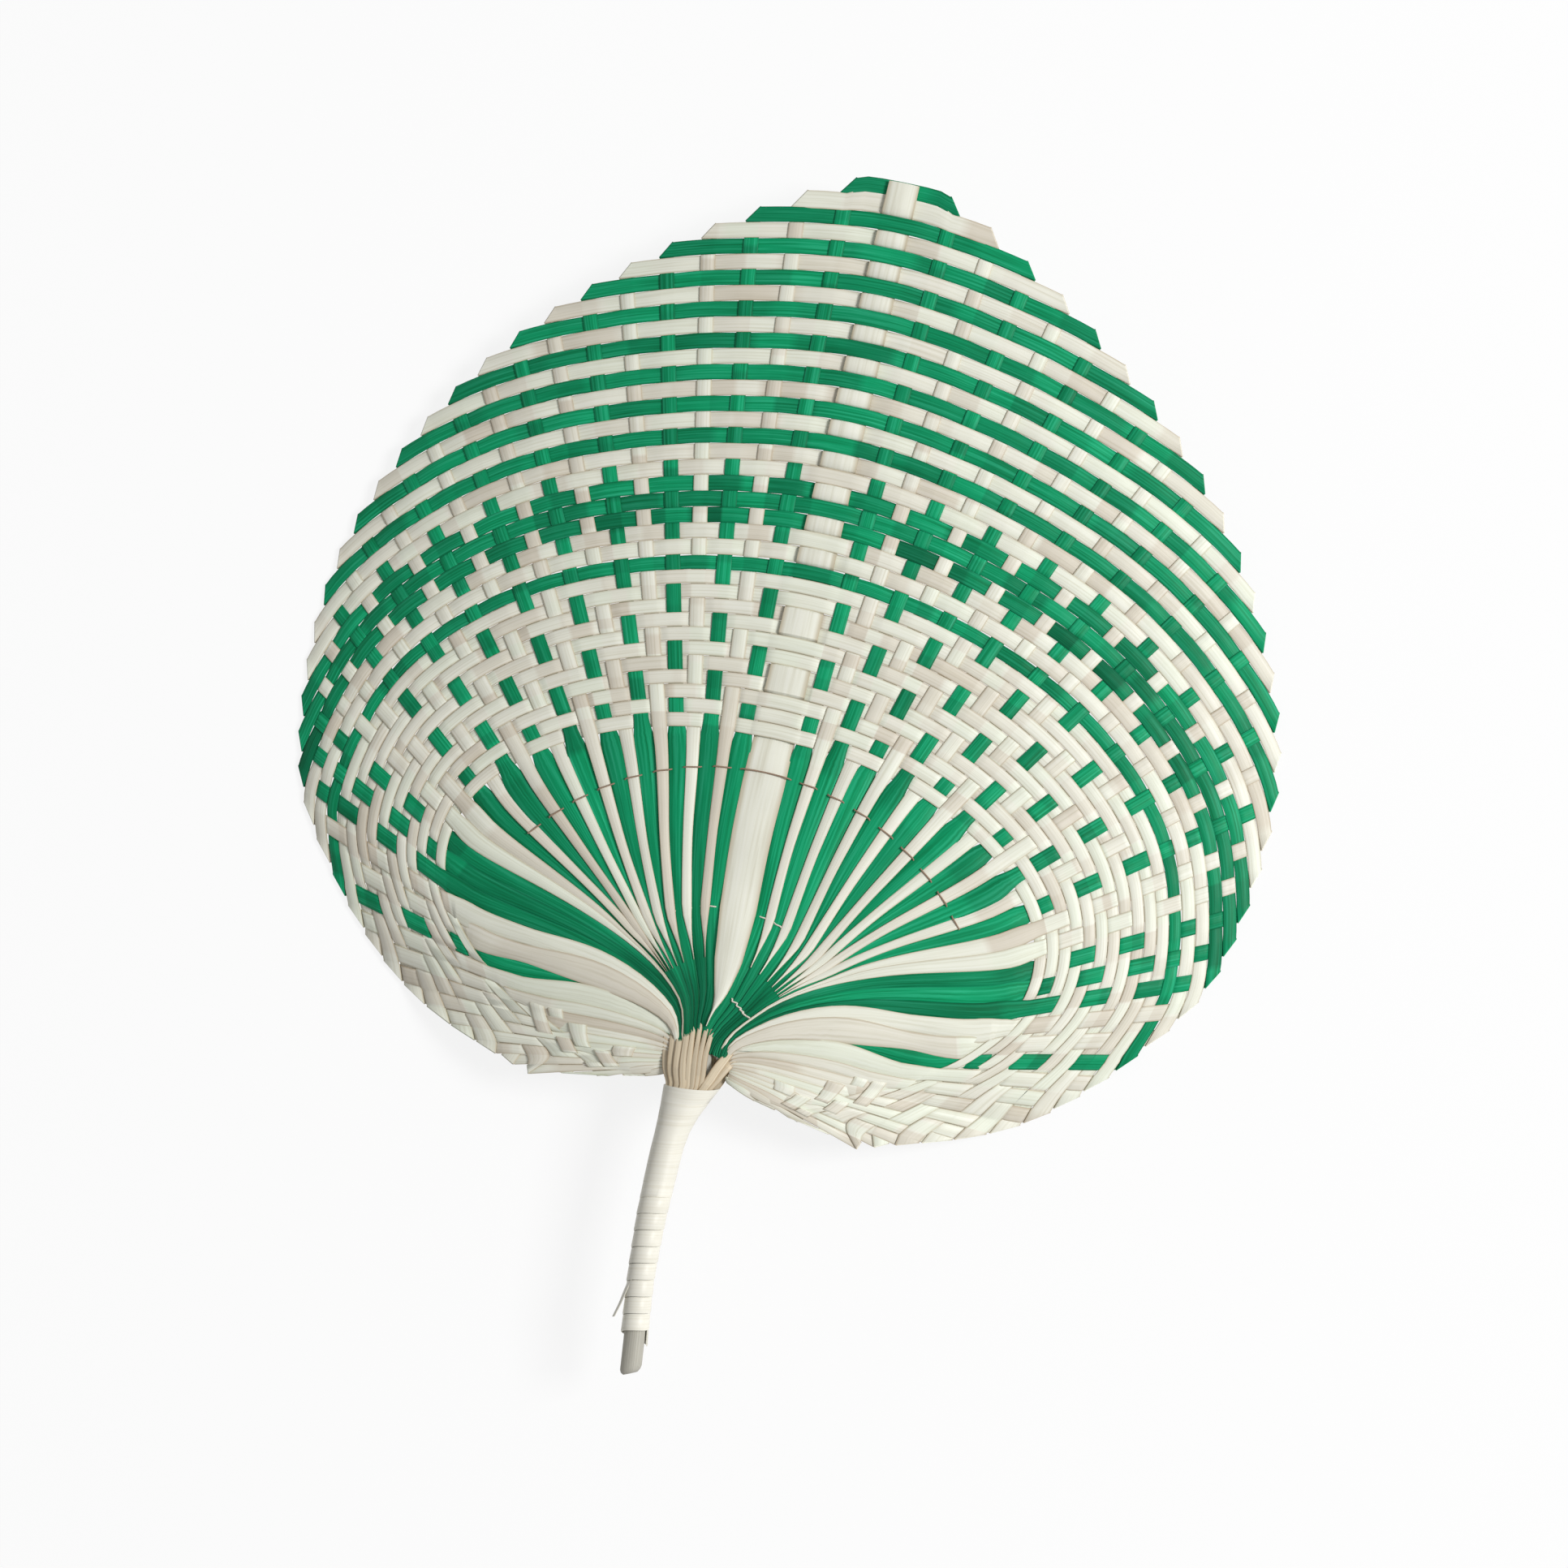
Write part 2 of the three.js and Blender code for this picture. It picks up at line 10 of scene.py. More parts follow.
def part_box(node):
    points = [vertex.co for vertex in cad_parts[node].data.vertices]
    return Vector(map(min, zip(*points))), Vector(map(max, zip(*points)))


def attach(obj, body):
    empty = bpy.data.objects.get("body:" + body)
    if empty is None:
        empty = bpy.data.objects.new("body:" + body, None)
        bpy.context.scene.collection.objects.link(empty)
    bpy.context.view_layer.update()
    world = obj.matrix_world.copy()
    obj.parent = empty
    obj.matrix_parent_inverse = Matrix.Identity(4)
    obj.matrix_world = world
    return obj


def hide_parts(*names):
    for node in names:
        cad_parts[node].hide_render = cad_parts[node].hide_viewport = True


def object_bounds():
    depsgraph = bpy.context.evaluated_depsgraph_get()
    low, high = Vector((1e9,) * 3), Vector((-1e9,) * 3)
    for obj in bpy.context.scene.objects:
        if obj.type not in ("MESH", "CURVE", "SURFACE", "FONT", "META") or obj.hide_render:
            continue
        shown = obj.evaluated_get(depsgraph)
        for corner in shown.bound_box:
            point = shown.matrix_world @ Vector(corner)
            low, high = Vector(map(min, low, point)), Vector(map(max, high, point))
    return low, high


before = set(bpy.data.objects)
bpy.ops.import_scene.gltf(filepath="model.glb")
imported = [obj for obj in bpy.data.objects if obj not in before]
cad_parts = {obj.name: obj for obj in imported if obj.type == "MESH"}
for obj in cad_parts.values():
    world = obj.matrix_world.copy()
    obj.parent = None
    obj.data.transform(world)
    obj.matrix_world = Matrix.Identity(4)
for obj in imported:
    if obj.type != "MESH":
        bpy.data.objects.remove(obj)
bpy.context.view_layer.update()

MM = 0.001
random.seed(41)

# Loops of the blade, counted from the apex inwards.
LOOPS = 36
PLAIN_ROWS = 25
STRIPED_ROWS = 17
OTHER_GREENS = (20, 21, 22, 25)
LAST_GREEN = 25

# Rows, in millimetres about the neck. They are circles up to leg index AXIS_INDEX, and up to AXIS_LEGS their
# radius changes evenly.
APEX_ROW = 249.0
PLAIN_PITCH = 4.7
TWILL_PITCH = 4.2
ROW_GAP = 0.95
ROW_SEAM = 0.1
AXIS_INDEX = 0.5
AXIS_LEGS = 2.5
SLANT_STEP = 0.25
STEEPEST_SLANT = 0.9
SETTLE_ROUNDS = 12

# How far the innermost row lies inside its circle: degrees from the axis and share of its radius.
OPENING_DIP = (
    (0, 0.01), (25, -0.04), (48, -0.1), (60, -0.09), (70, 0),
    (80, 0.19), (90, 0.42), (105, 0.61), (123, 0.75),
)

# How much wider than its pitch a row may be. The rows of the lobes have more room, and narrow towards their
# folds: row and half width there, and the legs over which they do so.
ROW_ROOM = 2.5
SECOND_ROW_EXTRA = 0.8
LOBE_ROWS = 30
LOBE_ROOM = 4.5
LOBE_FOLDS = ((31, 3.3), (33, 2.6), (34, 2.1), (36, 1.7))
LOBE_TAPER = (0.3, 2.5)

# Legs, in millimetres. Tapered legs end in a point above the neck, seam legs run down as a thin line, slit
# legs widen to close the gaps beside them, and the first leg runs under the rib.
LEG_WIDTH = 4.25
WOVEN_SHARE = 0.96
LEG_OFFSET = 5.0
FIRST_LEG = radians(2.45)
LEG_STEP = radians(3.08)
LEG_FOOT = 1.0
TAPERED_LEGS = 16
TAPERED_FOOT = 28.0
TAPER_LENGTH = 12.0
SEAM_LEGS = (18, 19)
SLIT_LEGS = (23, 24, 26)
RIB_LAP = 2.2
SHINGLE = 0.2
LOBE_SHINGLE = 0.34
LEG_ROLL = 0.16
LEG_LEAN = 0.25

# Widths of the bare legs in shares of their pitch: far from the neck, close to it, and the two distances
# between which they change. SEAM_WIDTH is in millimetres.
GREEN_WIDTHS = (1.38, 2.7, 20, 62)
LAST_GREEN_WIDTHS = (1.5, 0.15, 24, 48)
TAPERED_WIDTHS = (0.8, 1.45, 20, 62)
SLIT_WIDTHS = (1.65, 4.6, 30, 60)
OTHER_WIDTHS = (1.1, 2.5, 34, 66)
POINT_SHARE = 0.06
SEAM_WIDTH = 0.9
SEAM_SHARE = 1.1
SEAM_ZONE = (26, 50)

# Lifts of the bare legs: how they climb close to the neck, more from leg to leg, and how far the natural
# ones lie above the others.
NECK_ZONE = (22, 42)
FOOT_ZONE = (4, 14)
GREEN_RISE = 0.8
NATURAL_RISE = 0.95
LOBE_RISE = 0.5
RISE_PER_LEG = 0.03
TOP_LIFT = 0.42
NATURAL_LIFT = 0.2
LAST_GREEN_LIFT = -0.2

# Sections along a leg: where its bare part ends before the first row, how it eases into the weave, and how
# much of a crossing lies flat. Places are shares of half a crossing, or of the setback.
BARE_SETBACK = 7.0
BARE_FADE = (-1, 8)
ROW_CLEARANCE = 0.4
SECTION_STEP = 3.0
FLOAT_SHARE = 0.8
LEG_PLACES = (-1.0, -0.75, -0.3, 0.3, 0.75, 1.0)
ROW_PLACES = (-1.0, -0.7, 0.0, 0.7, 1.0)
RIB_PLACES = (-1, -0.75, 0, 0.75, 1)
EASE_PLACES = (0.0, 0.3, 0.6)
FOLD_CLEARANCE = 0.3
ROW_FOLD_CLEARANCE = 0.03
FOLD_SHIFT = 0.15
FOLD_NARROW = 0.03
SWAY_RATE = 0.06

# Short rows that bind the bare legs of the lobes close to the neck: distance from it on the line of the
# middle leg, first leg and last leg. A strip lies flat over part of a leg's step, and begins and ends some
# steps past its legs.
CROSSINGS = ((43.0, 27, 31), (38.4, 27, 33), (33.8, 28, 35), (29.2, 29, 35), (24.6, 30, 34))
CROSSING_MIDDLE = 32
CROSSING_FALL = 0.03
CROSSING_HALF = 2.1
CROSSING_FLAT = (-0.75, -0.25)
CROSSING_STEPS = 5
CROSSING_PAST = (-4, 3)
CROSSING_CYCLE = 5
CROSSING_OVER = 3
CROSSING_RISE = 0.12
CROSSING_HIDDEN = -0.55

# How the bare legs are drawn together: leg and share of its angle kept at the spread radius, where this
# begins, and the plan points of the feet of the first, the last gathered and the last leg.
LEG_SPREAD = (
    (0, 1.08), (5, 1.14), (9, 1.05), (12, 0.94), (16, 0.83), (19, 0.78), (22, 0.8), (25, 0.84), (36, 1),
)
SPREAD_RADIUS = 40.0
GATHER_REACH = 90.0
GATHER_SETBACK = 8.0
GATHER_EASE = 1.5
GATHERED_LEGS = 25
FIRST_FOOT = (0.5, -1.5)
GATHERED_FOOT = (7.6, -3.0)
LAST_FOOT = (8.6, -8.0)

# How far the gathered legs lean to the right, and the distances over which the lean grows and fades.
NECK_LEAN = 1.9
LEAN_GROWS = (4, 16)
LEAN_FADES = (20, 66)

# Splints: thickness, crimp, softened edge, and where a row crosses the rib: the room they need, the share of
# the rib's width that is flat, and the next sections in steps of a leg.
SPLINT = 0.32
CRIMP = 0.22
BEVEL = 0.14
BEVEL_LIMIT = 0.25
SHARP_ANGLE = radians(50)
RIB_ROOM = 0.25
RIB_FLAT = 0.85
BESIDE_RIB = 0.12
BEFORE_LEG = 0.62

# Looks of the splints: tones of the loops, length of grain to cut from, painted patches of light that change
# the tone along a splint, where the weave begins, painted shade that darkens the legs towards the neck, and
# the depth of the grain in metres.
LOOP_TONES = (0.3, 0.7)
GRAIN_LENGTH = 4000
PATCH_SECTIONS = (4, 9)
PAINTED_PATCH_RANGE = 0.4
OPENING_RADIUS = 84.0
LOBE_SLOPE = 0.3
PAINTED_SHADE_ZONE = (12, 40)
GREEN_PAINTED_SHADE_AT_NECK = 0.7
NATURAL_PAINTED_SHADE_AT_NECK = 0.1
GRAIN_DEPTH = 0.0002

# Blade outline and dome.
BLADE = 251.0
EDGE = (
    (0, 1), (0.0677, 0.992), (0.239, 0.8924), (0.4024, 0.753), (0.506, 0.6016), (0.5602, 0.4343),
    (0.5498, 0.247), (0.498, 0.1335), (0.3685, 0), (0.2072, -0.0677), (0.137, -0.0635),
    (0.0785, -0.0518),
)
DOME_DROP = 22.0
DOME_HALF_WIDTH = 0.562 * BLADE
LOBE_REACH = 0.36 * BLADE
CURL_START = radians(40)
CURL_END = radians(75)

# Rib: height above the neck and width, how its pointed foot is lifted over the legs, and its sections.
RIB_WIDTHS = ((5.3, 0.2), (10, 0.8), (17.6, 4.9), (24, 7.7), (39, 10.3), (75, 12.0), (251, 8.8))
RIB_TIP_LIFT = 1.2
RIB_TIP_ZONE = (28, 48)
RIB_THICKNESS = 0.6
RIB_CROWN = 0.55
RIB_SPANS = 8
RIB_SETBACK = 8.0
RIB_STEP = 2.4
RIB_STEPS = 35
RIB_TOP = 251.4
RIB_TOP_MARGIN = 0.2

# Threads: distance from the neck and last leg. The neck stitch is on the right side only.
OUTER_THREAD = (78.2, 16)
INNER_THREAD = (39.06, 12)
INNER_STITCHES = (-1, 1, 3)
NECK_STITCH = (21.5, 15)
THREAD_RADIUS = 0.22
THREAD_SIDES = 8
THREAD_PAST = 0.5
THREAD_STEPS = 6
THREAD_RIB_REACH = 0.75

# Handle: height about the neck, half width and half depth; the flare's foot, top and size; how far the
# middle line strays from the axis; the stick's sections; and its end, in rings of rise, easing and slant.
GRIP = ((-93.5, 2.95, 3.0), (-65, 2.95, 3.1), (-38, 3.5, 3.5), (-12, 3.7, 4.3))
FLARE = (-30.0, -12.0, 3.1)
FLARE_LIMIT = 1.2
SWAY = (
    (-93.5, 1.5), (-82, 0.1), (-74, -1.0), (-65, -2.0), (-50, -2.9), (-38, -3.0), (-30, -3.0),
    (-24, -2.6), (-18, -1.7), (-12, -0.4),
)
HANDLE_END = -93.5
END_CUT = 0.45
STICK_SIDES = 32
STICK_GRAIN = 12
STICK_STATIONS = (-45, -60, -75, -84)
STICK_END = ((4.5, 0, 0.25), (1.2, 0, END_CUT), (0.4, 0.3, END_CUT), (0, 1.0, END_CUT))

# Binding. Its upper turns lie close and slant, its lower ones shingle, and LOOSER_TURNS is where this
# changes. Laps and bevels are given for both.
BINDING_TOP = -12.9
BINDING_TURNS = 15
BINDING_STEPS = 48
BINDING_PITCH = 4.62
BINDING_WIDTH = 4.5
BINDING_THICKNESS = 0.45
BINDING_SLACK = 0.45
BINDING_SLANT = 1.3
SLANTED_TURNS = 7
LOOSER_TURNS = (5, 9)
BINDING_LAPS = (0.01, 0.1)
BINDING_BEVELS = (0.06, 0.3)
BINDING_OVERLAP = 0.04

# Loose end of the binding: plan points, half widths, heights, lean across, and thickness and bevel.
LOOSE_END = ((-3.6, -64), (-4.8, -70), (-5.6, -74.5), (-6.6, -78.5))
LOOSE_END_HALVES = (1.2, 0.7)
LOOSE_END_HEIGHTS = (2.2, 1.4)
LOOSE_END_LEAN = (0.5, 0.2, 0.9)
LOOSE_END_STEPS = 12
LOOSE_END_STRIP = (0.3, 0.1)

# Tang of the stick inside the gathered ends: height, half width and half depth.
TANG = ((3, 2.2, 0.4), (-4, 4.0, 1.6), (-12, 5.8, 2.6), (-22, 3.4, 3.0), (-38, 3.3, 3.3))

# Gathered ends: where and how much the binding squeezes them, how a strand rises, widens and tilts, then
# the plan points of each strand's middle line, its half width and its height.
SQUEEZE_ZONE = (8, 14)
TAIL_SQUEEZE = 0.86
TAIL_STEPS = 28
TAIL_RISE = 0.4
TAIL_ROOM = 1.2
TAIL_LOW = 0.08
TAIL_NARROW = 0.7
TAIL_TILT = 0.075
TAIL_LEAST_BOW = 0.05
LEFT_TAILS = (
    (((-10.6, 3.6), (-8.9, -4), (-7.5, -9), (-6, -14), (-3.2, -24)), 1.15, 2.6),
    (((-8.9, 5.6), (-7.2, -3), (-6, -9), (-4.8, -14), (-2.6, -24)), 1.3, 3.2),
    (((-7.1, 7), (-5.4, -2.5), (-4.3, -9), (-3.2, -14), (-1.8, -24)), 1.3, 3.5),
    (((-5.3, 8), (-3.7, -2.5), (-2.6, -9), (-1.7, -14), (-0.8, -24)), 1.15, 3.6),
    (((-3.5, 8.6), (-2.2, -2), (-1.2, -8.5), (-0.4, -14), (0.2, -24)), 0.9, 3.5),
)
RIGHT_TAILS = (
    (((-1.6, 9), (-0.6, -2), (0.2, -8.5), (0.9, -14), (0.9, -24)), 0.85, 3.5),
    (((0.5, 9), (0.8, -2), (1.5, -8.5), (2, -14), (1.4, -24)), 0.85, 3.4),
    (((2.5, 8.4), (2.2, -2), (2.8, -8.5), (3.1, -14), (1.9, -24)), 0.85, 3.2),
    (((9.6, 2), (7.6, -2.6), (5.6, -7.6), (3.9, -14), (2.2, -24)), 1.35, 3.6),
    (((11.4, 0.2), (9.2, -3.6), (7, -8), (4.9, -14), (2.6, -24)), 1.25, 3),
)
BACK_TAILS = (
    (((9.8, 1), (8.6, -4), (7.2, -9), (5.8, -14), (3.4, -24)), 1.3, -2.6),
    (((7.2, 3), (6.2, -3), (5, -9), (3.8, -14), (2.4, -24)), 1.3, -3.2),
    (((4.4, 4.6), (3.8, -2.5), (3, -9), (2.2, -14), (1.4, -24)), 1.2, -3.5),
    (((1.6, 5.4), (1.4, -2), (1.1, -8.5), (0.9, -14), (0.6, -24)), 1.1, -3.6),
)

stick_low, stick_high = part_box("handle_stick")
NECK = Vector((0.0, stick_low.y - HANDLE_END * MM, (stick_low.z + stick_high.z) / 2))


def lerp(a, b, t):
    return a + (b - a) * t


def between(first, last, share):
    return lerp(first[0], last[0], share), lerp(first[1], last[1], share)


def smooth(t):
    t = min(max(t, 0.0), 1.0)
    return t * t * (3 - 2 * t)


def smoothstep(x, low, high):
    return smooth((x - low) / (high - low))


def read_table(table, place, column=1):
    """Straight-line reading of a table with rising first numbers."""
    if place <= table[0][0]:
        return table[0][column]
    if place >= table[-1][0]:
        return table[-1][column]
    at = bisect.bisect_left(table, (place,))
    low, high = table[at - 1], table[at]
    return lerp(low[column], high[column], (place - low[0]) / (high[0] - low[0]))


def smooth_curve(points, samples=240):
    """Points of a smooth curve through a few pairs."""
    out = []
    last = len(points) - 1
    for sample in range(samples + 1):
        place = sample / samples * last
        at = min(int(place), last - 1)
        t = place - at
        around = [points[min(max(at + step, 0), last)] for step in (-1, 0, 1, 2)]
        pair = []
        for p0, p1, p2, p3 in zip(*around):
            v0 = (p2 - p0) * 0.5
            v1 = (p3 - p1) * 0.5
            a = 2 * p1 - 2 * p2 + v0 + v1
            b = -3 * p1 + 3 * p2 - 2 * v0 - v1
            pair.append(((a * t + b) * t + v0) * t + p1)
        out.append(tuple(pair))
    return out


EDGE_TABLE = [(atan2(x, y), BLADE * hypot(x, y)) for x, y in smooth_curve(EDGE)]
DIP_TABLE = [(radians(a), d) for a, d in smooth_curve(OPENING_DIP)]


def edge_radius(angle):
    return read_table(EDGE_TABLE, angle)


def dome_height(x, y):
    angle = atan2(abs(x), y)
    side = DOME_HALF_WIDTH / max(sin(angle), 1e-6)
    rim = max(edge_radius(angle), LOBE_REACH)
    reach = lerp(side, rim, smoothstep(angle, CURL_START, CURL_END))
    return -DOME_DROP * (hypot(x, y) / reach) ** 2


def dome_normal(x, y, step=1.5):
    slope_x = (dome_height(x + step, y) - dome_height(x - step, y)) / (2 * step)
    slope_y = (dome_height(x, y + step) - dome_height(x, y - step)) / (2 * step)
    return Vector((-slope_x, -slope_y, 1)).normalized()


def on_dome(x, y, lift, normal):
    return Vector((x, y, dome_height(x, y))) + normal * lift


def leg_angle(leg):
    return FIRST_LEG + LEG_STEP * (leg - 1)


def along_leg(radius):
    return sqrt(max(radius ** 2 - LEG_OFFSET ** 2, 0.01))


def line_point(leg, distance, sideways):
    angle = leg_angle(leg)
    across = LEG_OFFSET + sideways
    x = across * cos(angle) + distance * sin(angle)
    y = distance * cos(angle) - across * sin(angle)
    return x, y


def is_green(loop):
    return loop % 2 == 1 if loop <= STRIPED_ROWS else loop in OTHER_GREENS


def row_pitch(row):
    return PLAIN_PITCH if row < PLAIN_ROWS else TWILL_PITCH


def row_start(row):
    plain = min(row, PLAIN_ROWS) - 1
    twill = max(row - PLAIN_ROWS, 0)
    return APEX_ROW - plain * PLAIN_PITCH - twill * TWILL_PITCH


def fold_radius(leg):
    half = (row_pitch(leg) - ROW_GAP) / 2
    radius = row_start(leg)
    for _ in range(SETTLE_ROUNDS):
        radius = edge_radius(leg_angle(leg) + asin(LEG_OFFSET / radius)) - half
    return radius


def opening_radius(leg):
    radius = row_start(LOOPS)
    for _ in range(SETTLE_ROUNDS):
        angle = leg_angle(leg) + asin(LEG_OFFSET / radius)
        radius = row_start(LOOPS) * (1 - read_table(DIP_TABLE, angle))
    return radius


# Radii of the folds and of the opening, kept for each leg index.
FOLDS = {}
OPENINGS = {leg: opening_radius(leg) for leg in range(1, LOOPS + 1)}


def row_radius(row, leg):
    """Distance from the neck of a row where it meets the line of a leg index."""
    if leg < AXIS_LEGS and row > AXIS_LEGS:
        return lerp(row_start(row), row_radius(row, AXIS_LEGS), leg / AXIS_LEGS)
    key = round(leg, 3)
    if key not in FOLDS:
        FOLDS[key] = fold_radius(leg)
    if key not in OPENINGS:
        OPENINGS[key] = opening_radius(leg)
    outermost = row_start(max(leg, 1))
    innermost = row_start(LOOPS)
    share = (row_start(row) - innermost) / max(outermost - innermost, 1e-3)
    return lerp(OPENINGS[key], FOLDS[key], share)


def row_half(row, leg):
    """Half the width of a row on the line of a leg index: rows nearly touch."""
    if leg > LOOPS - 1.5:
        return (row_pitch(row) - ROW_GAP) / 2
    other = row + 1 if row < LOOPS else row - 1
    pitch = abs(row_radius(other, leg) - row_radius(row, leg))
    pitch = min(pitch, row_pitch(row) + (LOBE_ROOM if row >= LOBE_ROWS else ROW_ROOM))
    if row == 2:
        pitch += SECOND_ROW_EXTRA
    half = (pitch - ROW_SEAM) / 2
    if row < LOBE_ROWS:
        return half
    fold_half = min(half, read_table(LOBE_FOLDS, row))
    return lerp(fold_half, half, smoothstep(row - leg, *LOBE_TAPER))


def row_slant(row, leg):
    """Rise of a row across the line of a leg."""
    rise = row_radius(row, leg + SLANT_STEP) - row_radius(row, leg - SLANT_STEP)
    slant = rise / (2 * SLANT_STEP * LEG_STEP * along_leg(row_radius(row, leg)))
    return min(max(slant, -STEEPEST_SLANT), STEEPEST_SLANT)


def leg_on_top(row, leg):
    """Weave: plain to the last plain row, then twill. The rib counts as leg 0."""
    if row <= PLAIN_ROWS:
        return True if leg == 0 and row == 1 else (row + leg) % 2 == 0
    twill = (row + leg) % 4 < 2
    return not twill if row == LOOPS else twill


def profile(stations, place):
    """Eased reading of (place, lift) stations."""
    at = bisect.bisect_left(stations, (place,))
    if at <= 0:
        return stations[0][1]
    if at >= len(stations):
        return stations[-1][1]
    low, high = stations[at - 1], stations[at]
    span = max(high[0] - low[0], 1e-6)
    return lerp(low[1], high[1], smooth((place - low[0]) / span))


def flat_part(centre, half, lift):
    """Stations of the flat middle of a crossing."""
    return [(centre - half * FLOAT_SHARE, lift), (centre + half * FLOAT_SHARE, lift)]


def is_tapered(leg):
    """The natural legs beside the rib end in a point above the neck."""
    return leg <= TAPERED_LEGS and not is_green(leg)


def bare_widths(leg):
    if leg == LAST_GREEN:
        return LAST_GREEN_WIDTHS
    if is_green(leg):
        return GREEN_WIDTHS
    if is_tapered(leg):
        return TAPERED_WIDTHS
    return SLIT_WIDTHS if leg in SLIT_LEGS else OTHER_WIDTHS


def leg_half_width(leg, distance, bare=0.0):
    """Splints are narrow in the weave, then fill the opening, crowd and overlap towards the neck."""
    pitch = LEG_STEP * distance
    woven = min(LEG_WIDTH, pitch * WOVEN_SHARE)
    far, close, low, high = bare_widths(leg)
    loose = pitch * lerp(far, close, 1 - smoothstep(distance, low, high))
    if is_tapered(leg):
        loose *= lerp(POINT_SHARE, 1, smoothstep(distance, TAPERED_FOOT - 1, TAPERED_FOOT + TAPER_LENGTH))
    if leg in SEAM_LEGS:
        loose = lerp(SEAM_WIDTH, pitch * SEAM_SHARE, smoothstep(distance, *SEAM_ZONE))
    return lerp(woven, loose, bare) / 2


def gather_reach(leg):
    return min(GATHER_REACH, OPENINGS[leg] - GATHER_SETBACK)


def gather_share(leg, radius):
    """Share of its angle that a leg keeps where the legs are drawn together above the neck."""
    pull = max(1 - radius / gather_reach(leg), 0) / (1 - SPREAD_RADIUS / GATHER_REACH)
    return 1 + (read_table(LEG_SPREAD, leg) - 1) * pull ** GATHER_EASE


def leg_foot(index):
    """Plan point at which the leg of this index runs into the handle."""
    share = (index - 1) / (GATHERED_LEGS - 1)
    first, last = FIRST_FOOT, GATHERED_FOOT
    if index > GATHERED_LEGS:
        share = (index - GATHERED_LEGS) / (LOOPS - GATHERED_LEGS)
        first, last = GATHERED_FOOT, LAST_FOOT
    return between(first, last, share)


def gathered(leg, distance, sideways):
    """Plan point of a leg that is drawn in above the neck and turns down into the handle."""
    x, y = line_point(leg, distance, sideways)
    radius = hypot(x, y)
    angle = atan2(x, y) * gather_share(leg, radius)
    turn_reach = min(SPREAD_RADIUS, gather_reach(leg))
    share = min(max((radius - LEG_OFFSET) / (turn_reach - LEG_OFFSET), 0), 1)
    foot_x, foot_y = leg_foot(leg + sideways / (LEG_STEP * distance))
    x = lerp(foot_x, radius * sin(angle), smooth(share))
    y = lerp(foot_y, radius * cos(angle), 1 - (1 - share) ** 2)
    return x, y


def near_neck(distance):
    return 1 - smoothstep(distance, *NECK_ZONE)


def bare_lift(leg, distance, bare):
    """Bare natural legs lie over the green ones and end on them in a point."""
    near = near_neck(distance) * bare
    climb = RISE_PER_LEG * leg
    if leg == LAST_GREEN:
        return LAST_GREEN_LIFT * bare
    if is_green(leg):
        return near * (GREEN_RISE + climb)
    if not is_tapered(leg):
        near *= smoothstep(distance, *FOOT_ZONE)
    if is_tapered(leg) or leg in SEAM_LEGS:
        return TOP_LIFT * bare + near * (NATURAL_RISE + climb)
    if leg < LAST_GREEN:
        return near * (GREEN_RISE + climb) + bare * NATURAL_LIFT
    return near * LOBE_RISE + bare * NATURAL_LIFT


def neck_lean(point):
    """How far the gathered legs lean to the right on their way into the handle."""
    radius = hypot(point.x, point.y)
    return NECK_LEAN * smoothstep(radius, *LEAN_GROWS) * (1 - smoothstep(radius, *LEAN_FADES))


def leaned(shape):
    verts, faces, coordinates = shape
    return [point + Vector((neck_lean(point), 0, 0)) for point in verts], faces, coordinates


def leg_sections(leg):
    """Sections of the right leg of a loop, from the neck out to its fold."""
    places = []
    fold = fold_radius(leg)
    first = row_radius(LOOPS, leg) if leg < LOOPS else fold
    first_half = row_half(LOOPS, leg)
    first_slant = row_slant(LOOPS, leg) if leg < LOOPS else 0.0
    bare_end = along_leg(first) - BARE_SETBACK
    stations = [(0.0, 0.0), (bare_end, 0.0)]
    for row in range(LOOPS, leg, -1):
        centre = along_leg(row_radius(row, leg))
        half = row_half(row, leg)
        slant = row_slant(row, leg)
        lift = CRIMP if leg_on_top(row, leg) else -CRIMP
        stations += flat_part(centre, half, lift)
        for share in LEG_PLACES:
            places.append((centre + half * share, slant))
    half = row_half(leg, leg)
    corner = along_leg(fold - half)
    stations.append((corner, -CRIMP))
    distance = TAPERED_FOOT if is_tapered(leg) else LEG_FOOT
    while distance < bare_end:
        places.append((distance, 0.0))
        distance += SECTION_STEP
    for share in EASE_PLACES:
        if BARE_SETBACK * share < BARE_SETBACK - ROW_CLEARANCE - first_half:
            places.append((bare_end + BARE_SETBACK * share, first_slant * share))
    places = sorted(p for p in places if p[0] < corner - FOLD_CLEARANCE)
    roll = random.uniform(-LEG_ROLL, LEG_ROLL)
    lean = random.uniform(-LEG_LEAN, LEG_LEAN)
    sections = []
    for distance, slant in places:
        bare = 1 - smoothstep(distance, bare_end + BARE_FADE[0], bare_end + BARE_FADE[1])
        width = leg_half_width(leg, distance, bare)
        lift = profile(stations, distance) + bare_lift(leg, distance, bare)
        near = near_neck(distance) * bare
        tilt = width * roll * bare * (1 - near) - SHINGLE * near
        if leg > STRIPED_ROWS + 2:
            tilt = -SHINGLE * bare
        if leg > GATHERED_LEGS:
            tilt = -LOBE_SHINGLE * bare
        sway = lean * bare * sin(distance * SWAY_RATE + leg)
        lap = RIB_LAP * near if leg == 1 else 0
        left = gathered(leg, distance - slant * width, sway - width - lap)
        right = gathered(leg, distance + slant * width, sway + width)
        normal = dome_normal(*gathered(leg, distance, 0))
        sections.append((
            on_dome(*left, lift - tilt, normal),
            on_dome(*right, lift + tilt, normal),
            normal,
        ))
    return sections


